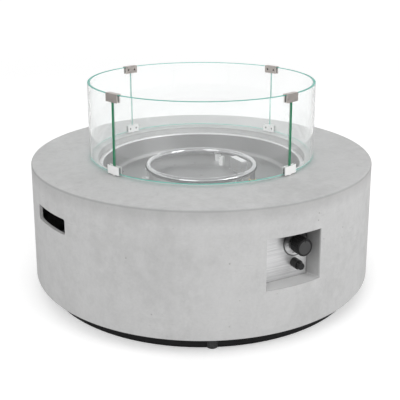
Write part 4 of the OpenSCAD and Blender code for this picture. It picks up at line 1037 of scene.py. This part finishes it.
class FIRETABLE_OT_pilot(bpy.types.Operator):
    """Makes the pilot burner, the perforated igniter guard, the electrode and the thermocouple"""
    bl_idname = "fire_table.pilot"
    bl_label = "Pilot and igniter guard"

    def execute(self, context):
        dress_each(("pilot_burner", "bright", 0.0004), ("pilot_nut", "brass", 0.0004),
                   ("igniter_guard", "perforated", 0.00025), ("guard_screws", "zinc", 0.0004))
        electrode = dressed("spark_electrode", "ceramic", 0.0003)
        electrode.data.materials.append(finish_of("spring"))
        # the ceramic ends at a height, and the wire stands out above it and beside it
        for face in electrode.data.polygons:
            reach = math.hypot(face.center.x - SPARK_AT[0], face.center.y - SPARK_AT[1])
            face.material_index = 1 if face.center.z > PAN_FLOOR_Z + 0.0283 or reach > 0.0033 else 0
        dressed("thermocouple", "copper", 0.0003)
        return {"FINISHED"}


class FIRETABLE_OT_leads(bpy.types.Operator):
    """Runs the gas hose, the pilot tube and the two leads under the pan"""
    bl_idname = "fire_table.leads"
    bl_label = "Hose and leads"

    def execute(self, context):
        settings = context.scene.fire_table.burner
        floor = PAN_FLOOR_Z
        elbow = (RISER_AT[0], RISER_AT[1] - 0.024, floor - 0.068)
        outlet = (KNOB.x, VALVE_OUTLET_Y, KNOB.z)
        route = lead_path(elbow, (0, -1, 0), outlet, (0, 1, 0), HOSE_R, (0.45, 0.45))
        hose = path_object("gas_hose", route)
        grown(hose, ribbed_hose_tree, "hose", Radius=HOSE_R, Rib_height=settings.rib_height,
              Pitch=settings.rib_pitch)
        smooth(hose, 60, False)
        finished(hose, "burner_hose", "hose")
        # each run is (node, start, way out, end, radius, shares of the span at both ends, finish)
        runs = [
            ("pilot_line", (KNOB.x, VALVE_PORT_Y, KNOB.z + VALVE_HALF), (0, 0, 1),
             (*PILOT_AT, floor - 0.018), PILOT_LINE_R, (0.16, 0.3), "hose"),
            ("spark_lead", (IGNITER.x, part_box("igniter_body")[1].y, IGNITER.z), (0, 1, 0),
             (*SPARK_AT, floor - 0.016), SPARK_LEAD_R, (0.45, 0.3), "silicone"),
            ("thermocouple_lead", (KNOB.x - VALVE_HALF, VALVE_PORT_Y, KNOB.z), (-1, 0, 0),
             (*THERMO_AT, floor - 0.016), THERMO_LEAD_R, (0.2, 0.4), "copper")]
        for node, start, leave, end, radius, shares, look in runs:
            lead = path_object(node + "_run", lead_path(start, leave, end, (0, 0, -1), radius, shares))
            grown(lead, tube_tree, look, Radius=radius, Sides=16)
            smooth(lead, 60, False)
            finished(lead, node, look)
        return {"FINISHED"}


class FIRETABLE_OT_controls(bpy.types.Operator):
    """Makes the control plate, the bezel and the gas valve"""
    bl_idname = "fire_table.controls"
    bl_label = "Control plate and valve"

    def execute(self, context):
        dress_each(("control_plate", "plate", 0.0002), ("plate_screws", "zinc", 0.0004),
                   ("bezel", "plate", 0.0002, 25), ("valve_body", "die_cast", 0.0008),
                   ("valve_nut", "brass", 0.0004), ("gas_inlet", "brass", 0.0005),
                   ("valve_stem", "zinc", 0.0003), ("thrust_collar", "zinc", 0.0003))
        return {"FINISHED"}


class FIRETABLE_OT_knob(bpy.types.Operator):
    """Moulds the fluted knob with its face and pointer groove"""
    bl_idname = "fire_table.knob"
    bl_label = "Control knob"

    def execute(self, context):
        settings = context.scene.fire_table.controls
        low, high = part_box("control_knob")
        radius, length = (high.x - low.x) / 2, high.y - low.y
        skin_r, bore_z = radius - KNOB_SKIN, length - KNOB_BORE_L
        count = settings.flutes * 12
        # each ring is (depth behind the face, radius, share of the flute's depth)
        rings = [(0.0009, 0.0, 0), (0.0009, radius - 0.0062, 0), (0.0006, radius - 0.0056, 0),
                 (0.0, radius - 0.0050, 0), (0.0, radius - 0.0030, 0), (0.0004, radius - 0.0015, 0),
                 (0.0014, radius - 0.0004, 0), (0.003, radius, 0), (0.0045, radius, 0), (0.0058, radius, 0.6),
                 (0.007, radius, 1), (length - 0.0006, radius, 1), (length, radius - 0.0006, 1),
                 (length, skin_r, 0), (KNOB_SKIN, skin_r, 0), (KNOB_SKIN, KNOB_HUB_R, 0),
                 (length, KNOB_HUB_R, 0), (length, KNOB_BORE_R, 0), (bore_z, KNOB_BORE_R, 0),
                 (bore_z, 0.0, 0)]
        bm = bmesh.new()
        loops = []
        for depth, r, share in rings:
            loops.append([])
            for k in range(count):
                angle = 2 * math.pi * k / count
                dip = settings.flute_depth * share * max(0.0, math.cos(settings.flutes * angle)) ** 0.7
                spot = ((r - dip) * math.cos(angle), (r - dip) * math.sin(angle), depth)
                loops[-1].append(bm.verts.new(spot))
        for a, b in zip(loops, loops[1:]):
            walled(bm, a, b)
        healed(bm).transform(along_y((KNOB.x, low.y, KNOB.z)))
        knob = mesh_object("control_knob_moulded", bm)
        groove = bmesh.new()
        bmesh.ops.create_cube(groove, size=1.0)
        groove.transform(Matrix.Translation((KNOB.x, low.y, KNOB.z + radius - 0.004))
                         @ Matrix.Diagonal((0.002, 0.0030, 0.011, 1)))
        carve(knob, mesh_object("groove", groove))
        smooth(knob, 38)
        finished(knob, "control_knob", "knob", "knob_face")
        for face in knob.data.polygons:
            reach = math.hypot(face.center.x - KNOB.x, face.center.z - KNOB.z)
            face.material_index = 1 if face.center.y < low.y + 0.002 and reach < radius - 0.0058 else 0
        return {"FINISHED"}


class FIRETABLE_OT_igniter(bpy.types.Operator):
    """Makes the push igniter with its collar, button, body and nut"""
    bl_idname = "fire_table.igniter"
    bl_label = "Push igniter"

    def execute(self, context):
        dress_each(("igniter_collar", "igniter", 0.0004), ("igniter_button", "igniter"),
                   ("igniter_body", "igniter", 0.0004), ("igniter_nut", "igniter", 0.0004),
                   ("battery", "battery", 0.0005))
        return {"FINISHED"}


class FIRETABLE_OT_springs(bpy.types.Operator):
    """Winds the springs behind the knob and the button"""
    bl_idname = "fire_table.springs"
    bl_label = "Springs"

    def execute(self, context):
        for node, joint, travel, wire, turns in (
                ("knob_spring", "knob_push", KNOB_TRAVEL, 0.0008, 5.0),
                ("igniter_spring", "igniter_push", BUTTON_TRAVEL, 0.0005, 4.0)):
            low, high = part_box(node)
            middle = (low + high) / 2
            length = high.y - low.y
            spring = grown(mesh_object(node + "_wound", bmesh.new()), coil_tree, "spring",
                           Coil_radius=(high.x - low.x) / 2 - wire, Wire_radius=wire,
                           Length=length - 2 * wire, Turns=turns)
            spring.data.transform(along_y((middle.x, low.y + wire, middle.z)))
            smooth(spring, 60, False)
            finished(spring, node, "spring")
            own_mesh(spring)
        return {"FINISHED"}


class FIRETABLE_OT_glass(bpy.types.Operator):
    """Bends the four glass panels of the wind guard, with ground green edges"""
    bl_idname = "fire_table.glass"
    bl_label = "Glass panels"

    def execute(self, context):
        settings = context.scene.fire_table.guard
        gap = GLASS_GAP / GUARD_R
        sweep = math.pi / 2 - gap
        for k, node in enumerate(("glass_right", "glass_back", "glass_left", "glass_front")):
            start = GUARD_TURN + (k - 1) * math.pi / 2 + gap / 2
            panel = grown(mesh_object(node + "_panel", bmesh.new()), glass_tree, "glass",
                          Radius=GUARD_R - GLASS_T / 2, Thickness=GLASS_T, Height=GLASS_HIGH - GLASS_LOW,
                          Start=start, Sweep=sweep, Middle_height=(GLASS_LOW + GLASS_HIGH) / 2,
                          Ground_edge=settings.ground_edge)
            bm = bmesh.new()
            bm.from_mesh(panel.data)
            bmesh.ops.remove_doubles(bm, verts=bm.verts, dist=1e-7)
            bmesh.ops.recalc_face_normals(bm, faces=bm.faces)
            bm.to_mesh(panel.data)
            bm.free()
            smooth(panel, 30)
            finished(panel, node, "glass", "glass_edge", "glass_joint")
            # the panes are clear, their upright edges on the front side deep green, the other edges pale
            ends = [Vector((math.cos(a), math.sin(a), 0)) for a in (start, start + sweep)]
            for face in panel.data.polygons:
                outward = Vector((face.center.x, face.center.y, 0)).normalized()
                flat = abs(face.normal.dot(outward)) > 0.9
                near = min(outward.angle(end) for end in ends) < JOINT_REACH
                if face.center.y < 0 and abs(face.normal.z) < 0.5 and (near or not flat):
                    face.material_index = 2
                else:
                    face.material_index = 0 if flat else 1
        return {"FINISHED"}


class FIRETABLE_OT_clips(bpy.types.Operator):
    """Makes the steel clips over the joints of the glass, with their pads, set screws and feet"""
    bl_idname = "fire_table.clips"
    bl_label = "Glass clips"

    def execute(self, context):
        rounding = context.scene.fire_table.guard.clip_rounding
        dress_each(("top_clips", "clip", rounding), ("bottom_clips", "bright", rounding),
                   ("clip_pads", "pad"), ("clip_screws", "set_screw", 0.0003), ("guard_feet", "bright"))
        return {"FINISHED"}


# ---- Stage

def seen_rays(build):
    """The kinds of ray, and a mask of those that look straight or through glass."""
    paths = build.add("ShaderNodeLightPath").outputs
    return paths, build.math("MAXIMUM", paths["Is Camera Ray"], paths["Is Transmission Ray"])


def studio_floor(settings):
    """A pale floor that keeps the table's shadow and glows a little towards white away from it."""
    bm = bmesh.new()
    bmesh.ops.create_grid(bm, x_segments=1, y_segments=1, size=30.0)
    floor = mesh_object("studio_floor", bm)
    finish = Finish("Studio floor", settings.floor_colour, Roughness=0.9, Specular_IOR_Level=0.0)
    build = finish.build
    grain = finish.use("Mottle", Cloud_scale=0.5, Grain_scale=20.0, Grain_share=0.2)
    finish.between(grain["Tone"], 0.998, 1.002)
    finish.link("Base Color", finish.base)
    away = build.add("ShaderNodeVectorMath", {0: finish.place}, operation="LENGTH").outputs["Value"]
    lift = build.math("ADD", build.ramp(away, 0.6, 1.0, 0.35, 0.372), build.ramp(away, 4.2, 10.0, 0.0, 0.09))
    # painted light: the floor glows more on its left, which lightens the table's shadow there
    lift = build.math("ADD", lift, build.ramp(build.parts(finish.place)[0], -0.3, -0.6, 0.0, 0.075))
    strength = build.product(seen_rays(build)[1], lift)
    glow = build.add("ShaderNodeEmission", {"Color": (1, 1, 1, 1), "Strength": strength})
    both = build.add("ShaderNodeAddShader", {0: finish.shader.outputs[0], 1: glow.outputs[0]})
    build.tree.links.new(both.outputs[0], finish.out.inputs[0])
    floor.data.materials.append(finish.material)


def studio_sky(settings):
    """Even light from all round, white where it is looked at, and brighter low down in reflections."""
    world = bpy.data.worlds.new("Pale studio")
    world.use_nodes = True
    world.node_tree.nodes.clear()
    build = Tree(world.node_tree)
    paths, seen = seen_rays(build)
    way = build.parts(build.add("ShaderNodeTexCoord").outputs["Generated"])
    dome = build.ramp(way[2], 0.1, 0.6, settings.sky * 1.35, settings.sky * 0.6)
    even = build.mix(paths["Is Glossy Ray"], settings.sky, dome)
    sky = build.add("ShaderNodeBackground", {"Color": (1, 1, 1, 1), "Strength": build.mix(seen, even, 1.0)})
    build.add("ShaderNodeOutputWorld", {0: sky.outputs[0]})
    return world


def softboxes(settings):
    """Three large lamps that look at the table: name, place, share of the key's power and size."""
    middle = Vector((0, 0, 0.3))
    for name, place, share, size in (("Key softbox", (2.0, -2.9, 2.2), 1.0, 2.2),
                                     ("Fill softbox", (-2.7, -1.9, 2.2), 0.62, 2.2),
                                     ("Top softbox", (0.2, 1.2, 3.4), 0.08, 2.6)):
        lamp = bpy.data.lights.new(name, "AREA")
        lamp.energy = settings.key * share
        lamp.size = size
        obj = bpy.data.objects.new(name, lamp)
        obj.location = place
        obj.rotation_euler = (middle - Vector(place)).to_track_quat("-Z", "Y").to_euler()
        bpy.context.scene.collection.objects.link(obj)


def photo_camera(settings):
    """A camera at the photograph's viewing angle."""
    camera = bpy.data.cameras.new("Photo camera")
    camera.sensor_fit = "HORIZONTAL"
    camera.sensor_width = SENSOR
    camera.lens = settings.focal * SENSOR
    camera.shift_x = 0.5 - settings.centre[0]
    camera.shift_y = settings.centre[1] - 0.5
    camera.clip_start = 0.05
    camera.clip_end = 100.0
    eye = bpy.data.objects.new("Photo camera", camera)
    turn = settings.view_turn
    eye.location = (settings.distance * math.sin(turn), -settings.distance * math.cos(turn),
                    TOP_Z + settings.height)
    eye.rotation_euler = (math.pi / 2 - settings.pitch, 0.0, turn)
    bpy.context.scene.collection.objects.link(eye)
    return eye


class FIRETABLE_OT_stage(bpy.types.Operator):
    """Sets up the floor, the soft light and the camera"""
    bl_idname = "fire_table.stage"
    bl_label = "Stage, lamps and camera"

    def execute(self, context):
        settings = context.scene.fire_table.stage
        context.scene.view_settings.view_transform = "Standard"
        studio_floor(settings)
        context.scene.world = studio_sky(settings)
        softboxes(settings)
        context.scene.camera = photo_camera(settings)
        return {"FINISHED"}


class FIRETABLE_PT_panel(bpy.types.Panel):
    """Lists the steps that make the fire pit table"""
    bl_idname = "FIRETABLE_PT_panel"
    bl_label = "Fire pit table"
    bl_space_type = "VIEW_3D"
    bl_region_type = "UI"
    bl_category = "Fire table"

    def draw(self, context):
        table = context.scene.fire_table
        for label, settings in (("Drum", table.drum), ("Pan", table.pan), ("Burner", table.burner),
                                ("Controls", table.controls), ("Wind guard", table.guard),
                                ("Stage", table.stage)):
            box = self.layout.box()
            box.label(text=label)
            for key in settings.__annotations__:
                box.prop(settings, key)
        for operator in OPERATORS:
            self.layout.operator(operator.bl_idname)


OPERATORS = (FIRETABLE_OT_finishes, FIRETABLE_OT_stage, FIRETABLE_OT_drum, FIRETABLE_OT_base,
             FIRETABLE_OT_seat, FIRETABLE_OT_pan, FIRETABLE_OT_burner, FIRETABLE_OT_pilot,
             FIRETABLE_OT_leads, FIRETABLE_OT_controls, FIRETABLE_OT_knob, FIRETABLE_OT_igniter,
             FIRETABLE_OT_springs, FIRETABLE_OT_glass, FIRETABLE_OT_clips)
CLASSES = (DrumSettings, PanSettings, BurnerSettings, ControlSettings, GuardSettings, StageSettings,
           FireTableSettings) + OPERATORS + (FIRETABLE_PT_panel,)


def register():
    for cls in CLASSES:
        bpy.utils.register_class(cls)
    bpy.types.Scene.fire_table = bpy.props.PointerProperty(type=FireTableSettings)


def unregister():
    del bpy.types.Scene.fire_table
    for cls in reversed(CLASSES):
        bpy.utils.unregister_class(cls)


def main():
    """Makes the whole scene."""
    register()
    bpy.ops.fire_table.finishes()
    bpy.ops.fire_table.stage()
    bpy.ops.fire_table.drum()
    bpy.ops.fire_table.base()
    bpy.ops.fire_table.seat()
    bpy.ops.fire_table.pan()
    bpy.ops.fire_table.burner()
    bpy.ops.fire_table.pilot()
    bpy.ops.fire_table.leads()
    bpy.ops.fire_table.controls()
    bpy.ops.fire_table.knob()
    bpy.ops.fire_table.igniter()
    bpy.ops.fire_table.springs()
    bpy.ops.fire_table.glass()
    bpy.ops.fire_table.clips()


if __name__ == "__main__":
    main()
